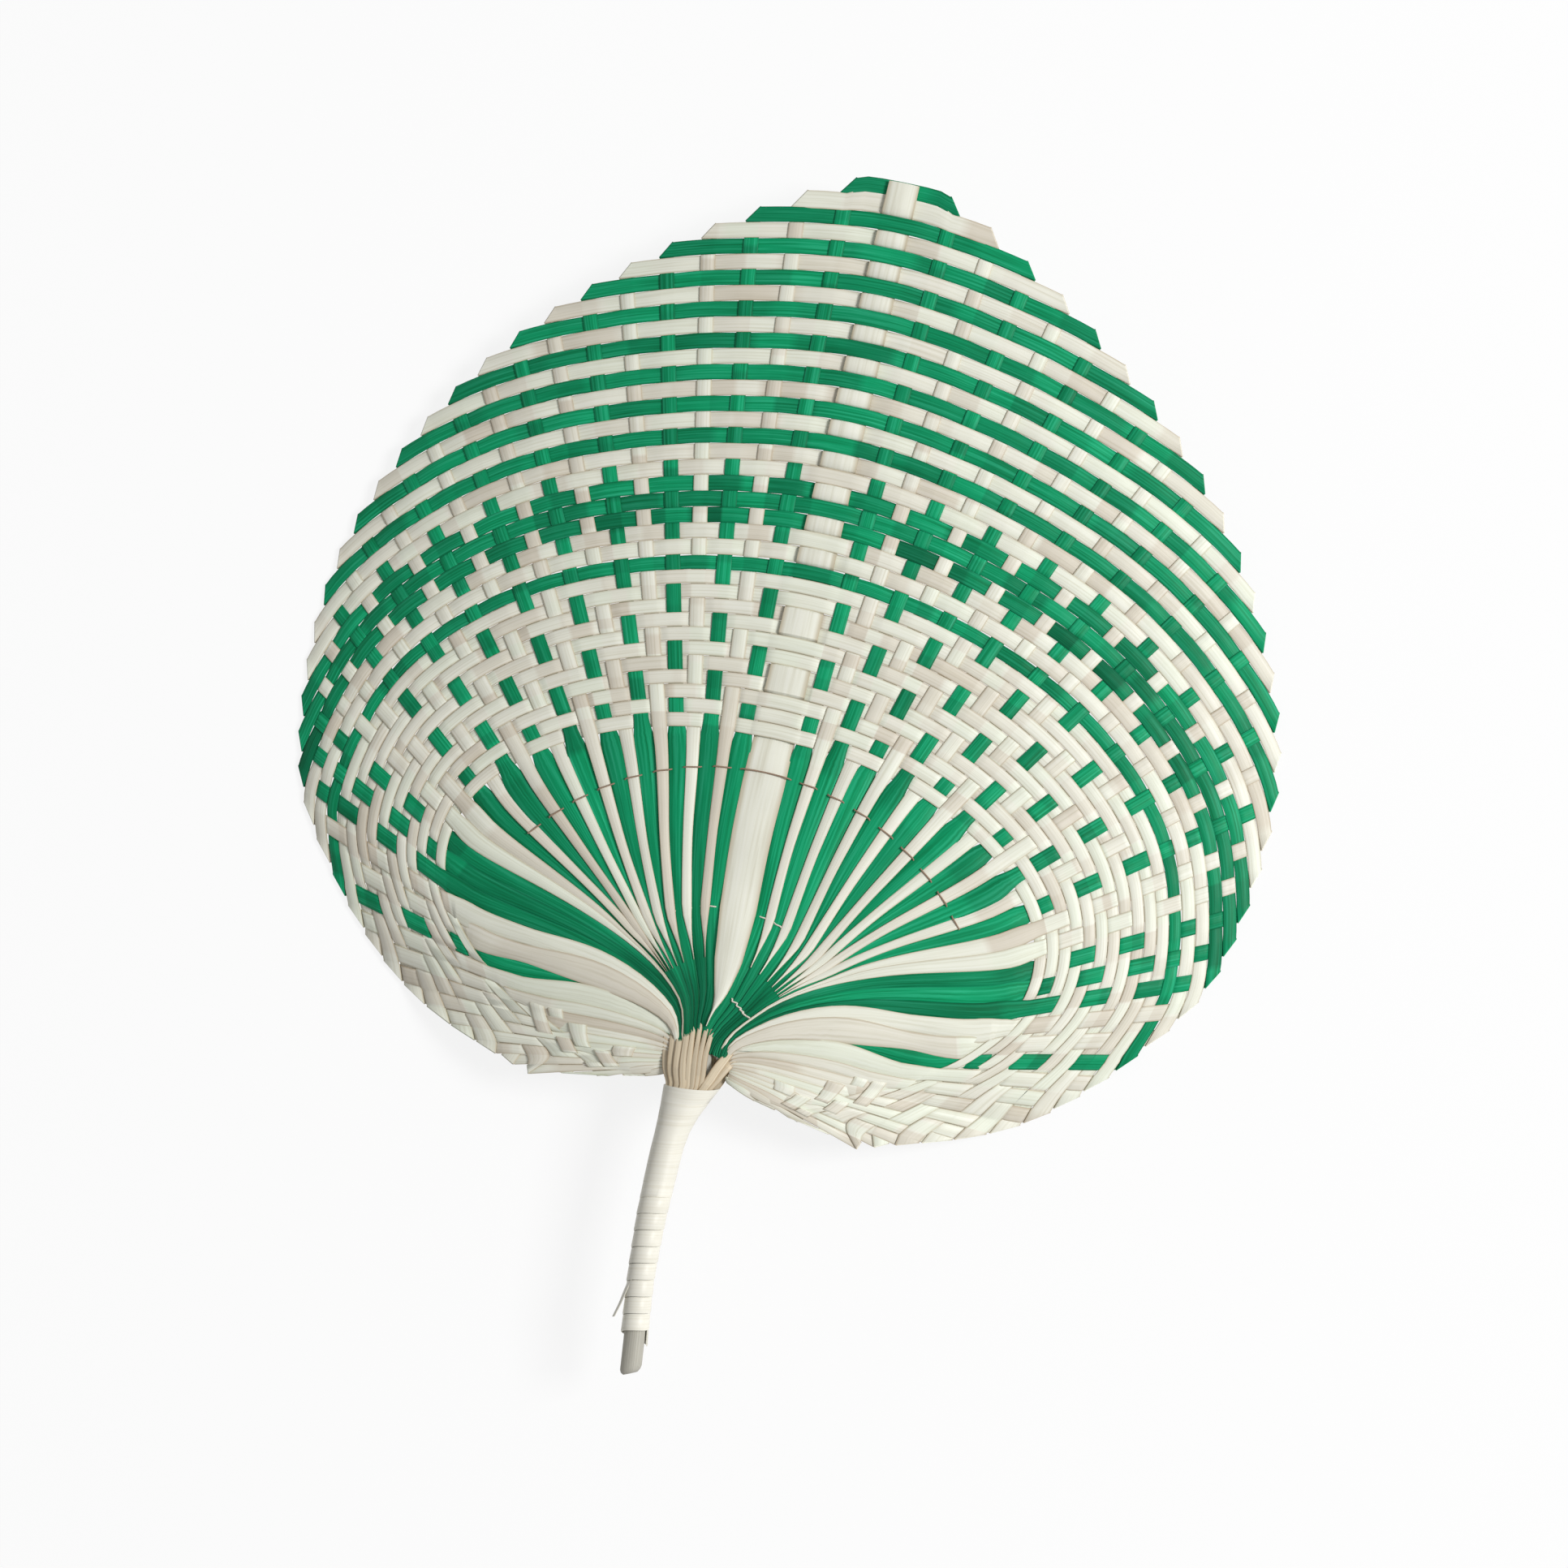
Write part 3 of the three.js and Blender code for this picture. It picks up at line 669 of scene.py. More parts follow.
def fold_corner(leg, side, offset, shift=0.0):
    """Plan point where an edge of a leg meets an edge of its own row."""
    fold = fold_radius(leg)
    distance = along_leg(fold)
    width = leg_half_width(leg, distance)
    slant = 2 * (fold - row_radius(leg, leg - 0.5)) / (LEG_STEP * distance)
    along = along_leg(fold + slant * side * width + offset)
    return line_point(leg, along, side * width + shift)


def fold_sections(leg):
    """Diagonal crease that turns a leg into its row, leg behind and row in front."""
    half = row_half(leg, leg)
    near = fold_corner(leg, -1, -half)
    far = fold_corner(leg, 1, -half)
    top = fold_corner(leg, -1, half)
    top_next = fold_corner(leg, -1, half, -FOLD_SHIFT)
    far_next = between(far, top, FOLD_NARROW)
    up = dome_normal(*near)
    out = Vector((far[0] + top[0] - 2 * near[0], far[1] + top[1] - 2 * near[1], 0))
    out = (out - up * out.dot(up)).normalized()
    return [
        (on_dome(*near, -CRIMP, up), on_dome(*far, -CRIMP, up), up),
        (on_dome(*top, -CRIMP, up), on_dome(*far_next, -CRIMP, up), up),
        (on_dome(*top, 0, up) + out * CRIMP, on_dome(*far_next, 0, up) + out * CRIMP, out),
        (on_dome(*top, CRIMP, up), on_dome(*far_next, CRIMP, up), -up),
        (on_dome(*top_next, CRIMP, up), on_dome(*near, CRIMP, up), -up),
    ]


def rib_half_width(y):
    return read_table(RIB_WIDTHS, y) / 2


def row_plan(row, leg, offset):
    """Plan point of a row on the line of a leg index, beside its middle by an offset."""
    if leg >= AXIS_INDEX:
        return line_point(leg, along_leg(row_radius(row, leg) + offset), 0)
    radius = row_radius(row, AXIS_INDEX)
    x, y = line_point(AXIS_INDEX, along_leg(radius), 0)
    angle = atan2(x, y) * leg / AXIS_INDEX
    return (radius + offset) * sin(angle), (radius + offset) * cos(angle)


def row_sections(row):
    """Sections of the right half of a row, from beside its fold to the axis."""
    radius = row_radius(row, AXIS_INDEX)
    rib_lift = (-1 if leg_on_top(row, 0) else 1) * (CRIMP + RIB_ROOM)
    rib_index = AXIS_INDEX * rib_half_width(radius) / line_point(AXIS_INDEX, along_leg(radius), 0)[0]
    stations = [(0.0, rib_lift), (rib_index * RIB_FLAT, rib_lift)]
    places = [0.0, rib_index * 0.5, rib_index * RIB_FLAT, rib_index, rib_index + BESIDE_RIB, BEFORE_LEG]
    for leg in range(1, row):
        distance = along_leg(row_radius(row, leg))
        half = leg_half_width(leg, distance) / (LEG_STEP * distance)
        lift = -CRIMP if leg_on_top(row, leg) else CRIMP
        stations += flat_part(leg, half, lift)
        for share in ROW_PLACES:
            places.append(leg + half * share)
        places.append(leg + 0.5)
    fold_distance = along_leg(fold_radius(row))
    fold_half = leg_half_width(row, fold_distance) / (LEG_STEP * fold_distance)
    stations.append((row - fold_half, CRIMP))
    places = sorted({round(p, 3) for p in places if p < row - fold_half - ROW_FOLD_CLEARANCE})
    sections = []
    for place in reversed(places):
        half = row_half(row, max(place, AXIS_INDEX))
        lift = profile(stations, place)
        up = dome_normal(*row_plan(row, place, 0))
        sections.append((
            on_dome(*row_plan(row, place, half), lift, up),
            on_dome(*row_plan(row, place, -half), lift, up),
            -up,
        ))
    return sections


def lobe_point(index, radius):
    """Plan point on the line of a leg index, drawn in as the legs are."""
    low = min(int(index), LOOPS - 1)
    distance = along_leg(radius)
    return between(gathered(low, distance, 0), gathered(low + 1, distance, 0), index - low)


def crossing_sections(crossing):
    """A short row over three legs of the lobe and under two, both ends tucked under a leg."""
    middle, first, last = CROSSINGS[crossing]
    stations = []
    for leg in range(first, last + 1):
        lift = bare_lift(leg, along_leg(middle), 1.0) + LOBE_SHINGLE + CROSSING_RISE
        if leg in (first, last) or (leg + 2 + 2 * crossing) % CROSSING_CYCLE >= CROSSING_OVER:
            lift = CROSSING_HIDDEN
        stations.extend((leg + share, lift) for share in CROSSING_FLAT)
    sections = []
    steps = (last - first) * CROSSING_STEPS
    before, past = CROSSING_PAST
    for step in range(before, steps + past):
        index = first + step / CROSSING_STEPS
        radius = middle * (1 - CROSSING_FALL * (index - CROSSING_MIDDLE))
        lift = profile(stations, index)
        up = dome_normal(*lobe_point(index, radius))
        sections.append((
            on_dome(*lobe_point(index, radius + CROSSING_HALF), lift, up),
            on_dome(*lobe_point(index, radius - CROSSING_HALF), lift, up),
            up,
        ))
    return sections


def mirrored(sections):
    """Sections of the other side, in the opposite order."""
    return [tuple(Vector((-v.x, v.y, v.z)) for v in section) for section in reversed(sections)]


def strip_ring(left, right, normal, thickness=SPLINT, bevel=BEVEL):
    """Flat section with softened edges: across one face, back over the other."""
    across = right - left
    width = across.length
    across = across / max(width, 1e-6)
    inset = across * min(bevel, width * BEVEL_LIMIT)
    face = normal * (thickness / 2)
    rim = normal * (thickness / 5)
    return [
        left + rim, left + inset + face, right - inset + face, right + rim,
        right - rim, right - inset - face, left + inset - face, left - rim,
    ]


RING_ACROSS = (0.0, 0.06, 0.94, 1.0, 1.0, 0.94, 0.06, 0.0)
RING_SIDES = len(RING_ACROSS)


def tube_mesh(rings, across, start=0.0):
    """Vertices, faces and face coordinates of a tube through rings."""
    verts = [point for ring in rings for point in ring]
    sides = len(rings[0])
    along = [start]
    for before, after in zip(rings, rings[1:]):
        middle_before = sum(before, Vector()) / sides
        middle_after = sum(after, Vector()) / sides
        along.append(along[-1] + (middle_after - middle_before).length)
    faces = []
    coordinates = []
    for at in range(len(rings) - 1):
        for side in range(sides):
            other = (side + 1) % sides
            a = at * sides + side
            b = at * sides + other
            faces.append((a, b, b + sides, a + sides))
            low = across[side]
            high = across[side + 1] if side + 1 < len(across) else across[other]
            coordinates.append((
                (along[at], low), (along[at], high),
                (along[at + 1], high), (along[at + 1], low),
            ))
    last = (len(rings) - 1) * sides
    faces.append(tuple(range(sides - 1, -1, -1)))
    coordinates.append(tuple((along[0], across[side]) for side in range(sides - 1, -1, -1)))
    faces.append(tuple(range(last, last + sides)))
    coordinates.append(tuple((along[-1], across[side]) for side in range(sides)))
    return verts, faces, coordinates


def joined(parts):
    """Several (vertices, faces, coordinates) as one."""
    verts, faces, coordinates = [], [], []
    for part_verts, part_faces, part_coordinates in parts:
        base = len(verts)
        verts.extend(part_verts)
        faces.extend(tuple(base + index for index in face) for face in part_faces)
        coordinates.extend(part_coordinates)
    return verts, faces, coordinates


def painted_light_and_shade_tones(verts, tone, painted_shade_at_neck):
    """Painted light and shade: tones that change every few sections as the faces of a bent splint catch the
    light, and painted shade towards the neck.
    """
    tones = []
    value = tone
    left = 0
    for first in range(0, len(verts), RING_SIDES):
        corner = verts[first]
        radius = hypot(corner.x, corner.y)
        woven = radius > OPENING_RADIUS or corner.y < LOBE_SLOPE * abs(corner.x)
        if left <= 0 and woven:
            left = random.randint(*PATCH_SECTIONS)
            value = tone + random.uniform(-PAINTED_PATCH_RANGE, PAINTED_PATCH_RANGE)
        # Painted shade: the splint darkens towards the neck, where the legs crowd together.
        painted_darkening = painted_shade_at_neck * (1 - smoothstep(radius, *PAINTED_SHADE_ZONE))
        tones.extend([min(max(value - painted_darkening, 0.0), 1.0)] * RING_SIDES)
        left -= 1
    return tones


def add_object(name, data):
    obj = bpy.data.objects.new(name, data)
    bpy.context.scene.collection.objects.link(obj)
    return obj


def make_piece(name, shape, material, nodes, tone=0.5, painted_shade_at_neck=None):
    """An object of the frame made from millimetre points about the neck. Given a painted shade at the neck,
    its tones get painted patches of light and that painted shade.
    """
    verts, faces, coordinates = shape
    mesh = bpy.data.meshes.new(name)
    mesh.from_pydata([NECK + point * MM for point in verts], [], faces)
    layer = mesh.uv_layers.new(name="grain")
    flat = [value for face in coordinates for pair in face for value in pair]
    layer.data.foreach_set("uv", flat)
    attribute = mesh.attributes.new("tone", "FLOAT", "POINT")
    tones = [tone] * len(verts)
    if painted_shade_at_neck is not None:
        tones = painted_light_and_shade_tones(verts, tone, painted_shade_at_neck)
    attribute.data.foreach_set("value", tones)
    mesh.polygons.foreach_set("use_smooth", [True] * len(faces))
    mesh.set_sharp_from_angle(angle=SHARP_ANGLE)
    mesh.materials.append(material)
    mesh.update()
    piece = add_object(name, mesh)
    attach(piece, "root")
    if nodes:
        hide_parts(*nodes)


def linear(red, green, blue):
    """Scene colour of a colour read as 0 to 255."""
    channels = []
    for value in (red, green, blue):
        c = value / 255
        channels.append(c / 12.92 if c <= 0.04045 else ((c + 0.055) / 1.055) ** 2.4)
    return (*channels, 1.0)


def grey(value):
    return (value, value, value, 1.0)


def new_material(name):
    material = bpy.data.materials.new(name)
    material.use_nodes = True
    tree = material.node_tree
    return material, tree, tree.nodes["Principled BSDF"]


def add_node(tree, kind, **settings):
    node = tree.nodes.new("ShaderNode" + kind)
    for key, value in settings.items():
        setattr(node, key, value)
    return node


def grain_coordinates(tree, along, across):
    """Strip coordinates stretched along the fibres."""
    uv = add_node(tree, "UVMap", uv_map="grain")
    scale = add_node(tree, "Mapping")
    scale.inputs["Scale"].default_value = (along, across, 1.0)
    tree.links.new(uv.outputs["UV"], scale.inputs["Vector"])
    return scale.outputs["Vector"]


def noise_factor(tree, vector, detail):
    node = add_node(tree, "TexNoise")
    node.inputs["Scale"].default_value = 1.0
    node.inputs["Detail"].default_value = detail
    tree.links.new(vector, node.inputs["Vector"])
    return node.outputs["Fac"]


def colour_ramp(tree, factor, stops):
    node = add_node(tree, "ValToRGB")
    ramp = node.color_ramp
    while len(ramp.elements) < len(stops):
        ramp.elements.new(0.5)
    for element, (place, colour) in zip(ramp.elements, stops):
        element.position = place
        element.color = colour
    tree.links.new(factor, node.inputs["Fac"])
    return node.outputs["Color"]


def multiplied(tree, first, second):
    node = add_node(tree, "Mix", data_type="RGBA", blend_type="MULTIPLY")
    node.inputs["Factor"].default_value = 1.0
    tree.links.new(first, node.inputs["A"])
    tree.links.new(second, node.inputs["B"])
    return node.outputs["Result"]


def splint_material(name, stops, slow_stops, edge, roughness, specular, fibre_strength, tone_stops=None):
    """Split bamboo: fibres along the strip, slow changes of tone, painted shade along both edges of each
    strip where it meets its neighbours, satin face.
    """
    material, tree, shader = new_material(name)
    fibre = noise_factor(tree, grain_coordinates(tree, along=0.03, across=9.0), detail=4.0)
    slow = noise_factor(tree, grain_coordinates(tree, along=0.045, across=0.4), detail=2.0)
    tone = add_node(tree, "Attribute", attribute_name="tone")
    base = colour_ramp(tree, fibre, stops)
    slow_tone = colour_ramp(tree, slow, slow_stops)
    own_tone = colour_ramp(tree, tone.outputs["Fac"], tone_stops or slow_stops)
    colour = multiplied(tree, base, slow_tone)
    colour = multiplied(tree, colour, own_tone)
    # Painted shade: the edge colour darkens both edges of a strip, where the strips meet.
    if edge:
        place = add_node(tree, "SeparateXYZ")
        tree.links.new(grain_coordinates(tree, 1.0, 1.0), place.inputs["Vector"])
        across = ((0.0, edge), (0.14, grey(1.0)), (0.86, grey(1.0)), (1.0, edge))
        colour = multiplied(tree, colour, colour_ramp(tree, place.outputs["Y"], across))
    tree.links.new(colour, shader.inputs["Base Color"])
    shader.inputs["Roughness"].default_value = roughness
    shader.inputs["Specular IOR Level"].default_value = specular
    bump = add_node(tree, "Bump")
    bump.inputs["Strength"].default_value = fibre_strength
    bump.inputs["Distance"].default_value = GRAIN_DEPTH
    tree.links.new(fibre, bump.inputs["Height"])
    tree.links.new(bump.outputs["Normal"], shader.inputs["Normal"])
    return material


def plain_material(name, colour, roughness):
    material, _, shader = new_material(name)
    shader.inputs["Base Color"].default_value = colour
    shader.inputs["Roughness"].default_value = roughness
    return material


# Green splints: their fibre streaks are grain and also painted sheen, the lightest stop standing for satin
# highlights, and their slow changes of tone are partly dye and partly painted sheen. The edge colour is
# painted shade between strips, and the lowest tone is painted shade at the neck.
GREEN = splint_material(
    "green_bamboo",
    stops=((0.25, linear(4, 126, 74)), (0.5, linear(18, 170, 114)), (0.8, linear(62, 204, 154))),
    slow_stops=((0.1, grey(0.7)), (0.9, grey(1.0))),
    tone_stops=((0.0, grey(0.42)), (0.15, grey(0.6)), (0.9, grey(1.0))),
    edge=grey(0.62), roughness=0.45, specular=0.1, fibre_strength=0.2)
# Natural splints: the edge colour is painted shade between strips.
NATURAL = splint_material(
    "natural_bamboo",
    stops=((0.2, linear(221, 219, 202)), (0.5, linear(242, 243, 231)), (0.85, linear(251, 252, 245))),
    slow_stops=((0.1, grey(0.87)), (0.75, grey(1.0))),
    tone_stops=((0.1, linear(236, 227, 220)), (0.5, linear(255, 253, 250)), (0.9, linear(252, 255, 249))),
    edge=linear(214, 202, 186), roughness=0.45, specular=0.25, fibre_strength=0.2)
# Gathered ends: the edge colour is painted shade between strands.
TAILS = splint_material(
    "gathered_bamboo",
    stops=((0.2, linear(198, 180, 148)), (0.5, linear(224, 208, 180)), (0.85, linear(240, 228, 206))),
    slow_stops=((0.1, grey(0.8)), (0.7, grey(1.0))),
    edge=linear(196, 178, 156), roughness=0.5, specular=0.2, fibre_strength=0.3)
BINDING = splint_material(
    "binding_bamboo",
    stops=((0.2, linear(228, 223, 206)), (0.5, linear(239, 236, 223)), (0.85, linear(244, 242, 232))),
    slow_stops=((0.2, grey(0.92)), (0.7, grey(1.0))),
    edge=None, roughness=0.4, specular=0.3, fibre_strength=0.15)
STICK = splint_material(
    "stick_wood",
    stops=((0.2, linear(166, 162, 148)), (0.5, linear(194, 191, 179)), (0.85, linear(212, 210, 200))),
    slow_stops=((0.2, grey(0.8)), (0.7, grey(1.0))),
    edge=None, roughness=0.65, specular=0.2, fibre_strength=0.6)
THREAD = plain_material("cotton_thread", linear(226, 220, 206), 0.85)
# Painted shade: the outer thread is coloured dark to stand for the thin shadow line of a light thread on the
# natural legs.
THREAD_WITH_PAINTED_SHADE = plain_material("thread_painted_shade", linear(150, 126, 106), 0.85)


def strip_shape(sections):
    rings = [strip_ring(*section) for section in sections]
    return tube_mesh(rings, RING_ACROSS, start=random.uniform(0, GRAIN_LENGTH))


def add_loops():
    for loop in range(1, LOOPS + 1):
        half = leg_sections(loop) + fold_sections(loop) + row_sections(loop)
        colour = "green" if is_green(loop) else "natural"
        node = f"{colour}_splint_{loop:02d}"
        make_piece(
            f"{colour}_woven_{loop:02d}", leaned(strip_shape(half + mirrored(half[:-1]))),
            GREEN if is_green(loop) else NATURAL, [node],
            tone=random.uniform(*LOOP_TONES),
            painted_shade_at_neck=GREEN_PAINTED_SHADE_AT_NECK if is_green(loop) else NATURAL_PAINTED_SHADE_AT_NECK)


def add_lobe_crossings():
    right = [crossing_sections(crossing) for crossing in range(len(CROSSINGS))]
    left = [mirrored(strip) for strip in right]
    for name, strips in (("right", right), ("left", left)):
        shape = leaned(joined([strip_shape(strip) for strip in strips]))
        make_piece(
            f"lobe_crossings_{name}", shape, NATURAL, [],
            painted_shade_at_neck=NATURAL_PAINTED_SHADE_AT_NECK)


def rib_ring(y, base, lift):
    """Crowned slat: front in a low arch, back flat."""
    half = rib_half_width(y)
    front = []
    for step in range(RIB_SPANS + 1):
        share = 2 * step / RIB_SPANS - 1
        height = RIB_THICKNESS / 2 + RIB_CROWN * (1 - share * share)
        front.append(Vector((half * share, y, base + lift + height)))
    edge = Vector((0, 0, -RIB_THICKNESS))
    return front + [front[-1] + edge, front[0] + edge]


RIB_ACROSS = tuple(step / RIB_SPANS for step in range(RIB_SPANS + 1)) + (1.0, 0.0)


def add_rib():
    over = CRIMP + RIB_ROOM
    tip_low, tip_high = RIB_TIP_ZONE
    bare_end = row_radius(LOOPS, AXIS_INDEX) - RIB_SETBACK
    stations = [(0.0, RIB_TIP_LIFT), (tip_low, RIB_TIP_LIFT), (tip_high, 0.0), (bare_end, 0.0)]
    places = [RIB_WIDTHS[0][0] + RIB_STEP * step for step in range(RIB_STEPS)]
    for row in range(LOOPS, 0, -1):
        centre = row_radius(row, AXIS_INDEX)
        half = row_half(row, AXIS_INDEX)
        lift = over if leg_on_top(row, 0) else -over - RIB_CROWN
        stations += flat_part(centre, half, lift)
        places.extend(centre + half * share for share in RIB_PLACES)
    places = sorted(p for p in places if p < RIB_TOP - RIB_TOP_MARGIN)
    places.append(RIB_TOP)
    rings = [rib_ring(y, dome_height(0, y), profile(stations, y)) for y in places]
    shape = leaned(tube_mesh(rings, RIB_ACROSS))
    make_piece("rib_slat", shape, NATURAL, ["central_rib"], tone=0.55)


def round_ring(middle, direction):
    """Circle about a travel direction."""
    side = direction.cross(Vector((0, 0, 1))).normalized()
    top = side.cross(direction).normalized()
    ring = []
    for step in range(THREAD_SIDES):
        turn = 2 * pi * step / THREAD_SIDES
        ring.append(middle + (side * cos(turn) + top * sin(turn)) * THREAD_RADIUS)
    return ring


def thread_shape(points):
    rings = []
    for at, point in enumerate(points):
        before = points[max(at - 1, 0)]
        after = points[min(at + 1, len(points) - 1)]
        rings.append(round_ring(point, (after - before).normalized()))
    across = tuple(step / THREAD_SIDES for step in range(THREAD_SIDES + 1))
    return tube_mesh(rings, across)


def thread_points(radius, first, last, passes_over):
    """A thread across the bare legs, over some of them and under the others."""
    points = []
    distance = along_leg(radius)
    room = SPLINT / 2 + THREAD_RADIUS
    steps = int((last - first) * THREAD_STEPS)
    for step in range(steps + 1):
        leg = first + step / THREAD_STEPS
        side = 1 if leg >= 0 else -1
        index = abs(leg)
        near = max(round(index), 1)
        # Below the points of the natural legs there are only the odd, green ones.
        if radius < TAPERED_FOOT and near % 2 == 0:
            near += 1
        above = bare_lift(near, distance, 1.0)
        lift = above + room if passes_over(side * near) else above - room
        if index < THREAD_RIB_REACH:
            rib_room = RIB_THICKNESS / 2 + THREAD_RADIUS
            lift = RIB_CROWN + rib_room if passes_over(0) else -rib_room
            x = line_point(THREAD_RIB_REACH, distance, 0)[0] * leg / THREAD_RIB_REACH
            points.append(Vector((x, sqrt(radius ** 2 - x ** 2), lift)))
            continue
        x, y = gathered(near, distance, (index - near) * LEG_STEP * distance)
        points.append(Vector((side * x, y, dome_height(x, y) + lift)))
    return points


def add_threads():
    def over_natural(leg):
        return leg == 0 or not is_green(abs(leg))

    def over_stitches(leg):
        return leg in INNER_STITCHES

    def over_all(leg):
        return leg > 0

    for name, node, thread, first_leg, passes_over, material in (
        ("outer_thread", "outer_spacer_thread", OUTER_THREAD, None, over_natural, THREAD_WITH_PAINTED_SHADE),
        ("inner_thread", "inner_spacer_thread", INNER_THREAD, None, over_stitches, THREAD),
        ("neck_thread", "neck_stitch", NECK_STITCH, 1.0, over_all, THREAD),
    ):
        radius, last = thread
        first = first_leg or -last - THREAD_PAST
        points = thread_points(radius, first, last + THREAD_PAST, passes_over)
        make_piece(name, leaned(thread_shape(points)), material, [node])


def grip_half_width(y):
    """The grip flares in a hollow curve towards the blade."""
    start, top, flare = FLARE
    share = max(y - start, 0) / (top - start)
    return read_table(GRIP, y) + flare * min(share, FLARE_LIMIT) ** 2


def grip_half_depth(y):
    return read_table(GRIP, y, 2)


def swayed(point):
    """Handle point moved with the handle's middle line."""
    return Vector((point.x + read_table(SWAY, point.y), point.y, point.z))


def binding_point(turn, y, outwards):
    angle = turn * 2 * pi
    x = (grip_half_width(y) + BINDING_SLACK + outwards) * cos(angle)
    z = (grip_half_depth(y) + BINDING_SLACK + outwards) * sin(angle)
    return Vector((x, y, z))


def binding_ring(turn):
    """Section of the wound strip. The upper turns lie close, the lower ones shingle."""
    loose = smoothstep(turn, *LOOSER_TURNS)
    slant = -BINDING_SLANT * sin(turn * 2 * pi) * (1 - smoothstep(turn, 0, SLANTED_TURNS))
    y = BINDING_TOP - BINDING_PITCH * turn + slant
    lap = lerp(*BINDING_LAPS, loose)
    middle = BINDING_THICKNESS / 2
    half = lerp(BINDING_PITCH + BINDING_OVERLAP, BINDING_WIDTH, loose) / 2
    low = binding_point(turn, y - half, middle + lap)
    high = binding_point(turn, y + half, middle - lap)
    outward = binding_point(turn, y, middle + 1) - binding_point(turn, y, middle)
    bevel = lerp(*BINDING_BEVELS, loose)
    return strip_ring(swayed(high), swayed(low), outward.normalized(), BINDING_THICKNESS, bevel)


def loose_end_rings():
    """The last of the strip, tucked under the binding, with a short end that stands off."""
    path = smooth_curve(LOOSE_END, LOOSE_END_STEPS)
    rings = []
    for at, (x, y) in enumerate(path):
        share = at / LOOSE_END_STEPS
        half = lerp(*LOOSE_END_HALVES, share)
        middle = Vector((x, y, lerp(*LOOSE_END_HEIGHTS, share)))
        lean = Vector(LOOSE_END_LEAN).normalized() * half
        face = Vector((-1.0, 0.0, 0.0))
        rings.append(strip_ring(middle - lean, middle + lean, face, *LOOSE_END_STRIP))
    return rings


def add_binding():
    rings = [binding_ring(step / BINDING_STEPS) for step in range(BINDING_TURNS * BINDING_STEPS + 1)]
    shape = joined([tube_mesh(rings, RING_ACROSS), tube_mesh(loose_end_rings(), RING_ACROSS)])
    make_piece("wound_binding", shape, BINDING, ["handle_binding"], tone=0.8)


def stick_ring(y, half_width, half_depth, cut):
    ring = []
    for side in range(STICK_SIDES):
        turn = 2 * pi * side / STICK_SIDES
        x = half_width * cos(turn)
        ring.append(swayed(Vector((x, y + cut * (x + half_width), half_depth * sin(turn)))))
    return ring


def add_stick():
    """Flat tang between the gathered ends, round below them, and a slanting cut with eased edges."""
    rings = [stick_ring(y, half, depth, 0) for y, half, depth in TANG]
    for y in STICK_STATIONS:
        rings.append(stick_ring(y, grip_half_width(y), grip_half_depth(y), 0))
    for rise, ease, cut in STICK_END:
        y = HANDLE_END + rise
        rings.append(stick_ring(y, grip_half_width(y) - ease, grip_half_depth(y) - ease, cut))
    across = tuple(STICK_GRAIN * side / STICK_SIDES for side in range(STICK_SIDES + 1))
    make_piece("stick", tube_mesh(rings, across), STICK, ["handle_stick"], tone=0.6)


def tail_sections(points, half_width, height):
    """One strand from beside the legs down under the binding."""
    middle = smooth_curve(points, TAIL_STEPS)
    sections = []
    for at in range(TAIL_STEPS + 1):
        before = middle[max(at - 1, 0)]
        after = middle[min(at + 1, TAIL_STEPS)]
        along = Vector((after[0] - before[0], after[1] - before[1], 0)).normalized()
        across = Vector((-along.y, along.x, 0))
        y = middle[at][1]
        squeeze = lerp(1.0, TAIL_SQUEEZE, smoothstep(-y, *SQUEEZE_ZONE))
        x = middle[at][0] * squeeze
        rise = smoothstep(at, 0, TAIL_STEPS * TAIL_RISE)
        bow = sqrt(max(1 - (x / (grip_half_width(y) + TAIL_ROOM)) ** 2, TAIL_LEAST_BOW))
        centre = Vector((x, y, lerp(height * TAIL_LOW, height * bow, rise)))
        half = half_width * squeeze * lerp(TAIL_NARROW, 1.0, rise)
        normal = Vector((TAIL_TILT * x, 0, 1 if height > 0 else -1)).normalized()
        if height < 0:
            across = -across
        left = swayed(centre - across * half)
        right = swayed(centre + across * half)
        sections.append((left, right, normal))
    return sections


def add_tails():
    for name, front, back in (("left", LEFT_TAILS, -1), ("right", RIGHT_TAILS, 1)):
        strands = [tail_sections(*strand) for strand in front]
        for points, half, height in BACK_TAILS:
            turned = [(x * back, y) for x, y in points]
            strands.append(tail_sections(turned, half, height))
        parts = [strip_shape(sections) for sections in strands]
        make_piece(
            f"tails_{name}", joined(parts), TAILS,
            [f"gathered_tails_{name}"], tone=0.6, painted_shade_at_neck=0.0)


add_loops()
add_rib()
add_threads()
add_stick()
add_tails()
add_binding()
add_lobe_crossings()


def seen_directly(tree):
    """One for rays that show the surroundings to the eye, straight or by way of a shiny surface."""
    path = add_node(tree, "LightPath")
    seen = path.outputs["Is Camera Ray"]
    for kind in ("Is Glossy Ray", "Is Transmission Ray"):
        either = add_node(tree, "Math", operation="MAXIMUM")
        tree.links.new(seen, either.inputs[0])
        tree.links.new(path.outputs[kind], either.inputs[1])
        seen = either.outputs[0]
    return seen


def stage_material(name, colour, white_share):
    """A matt sheet that looks whiter than it lights, and still takes a soft shadow."""
    material, tree, shader = new_material(name)
    shader.inputs["Base Color"].default_value = colour
    shader.inputs["Roughness"].default_value = 0.9
    shader.inputs["Specular IOR Level"].default_value = 0.0
    white = add_node(tree, "Emission")
    share = add_node(tree, "Math", operation="MULTIPLY")
    share.inputs[1].default_value = white_share
    tree.links.new(seen_directly(tree), share.inputs[0])
    mix = add_node(tree, "MixShader")
    for at, node in enumerate((share, shader, white)):
        tree.links.new(node.outputs[0], mix.inputs[at])
    tree.links.new(mix.outputs[0], tree.nodes["Material Output"].inputs["Surface"])
    return material


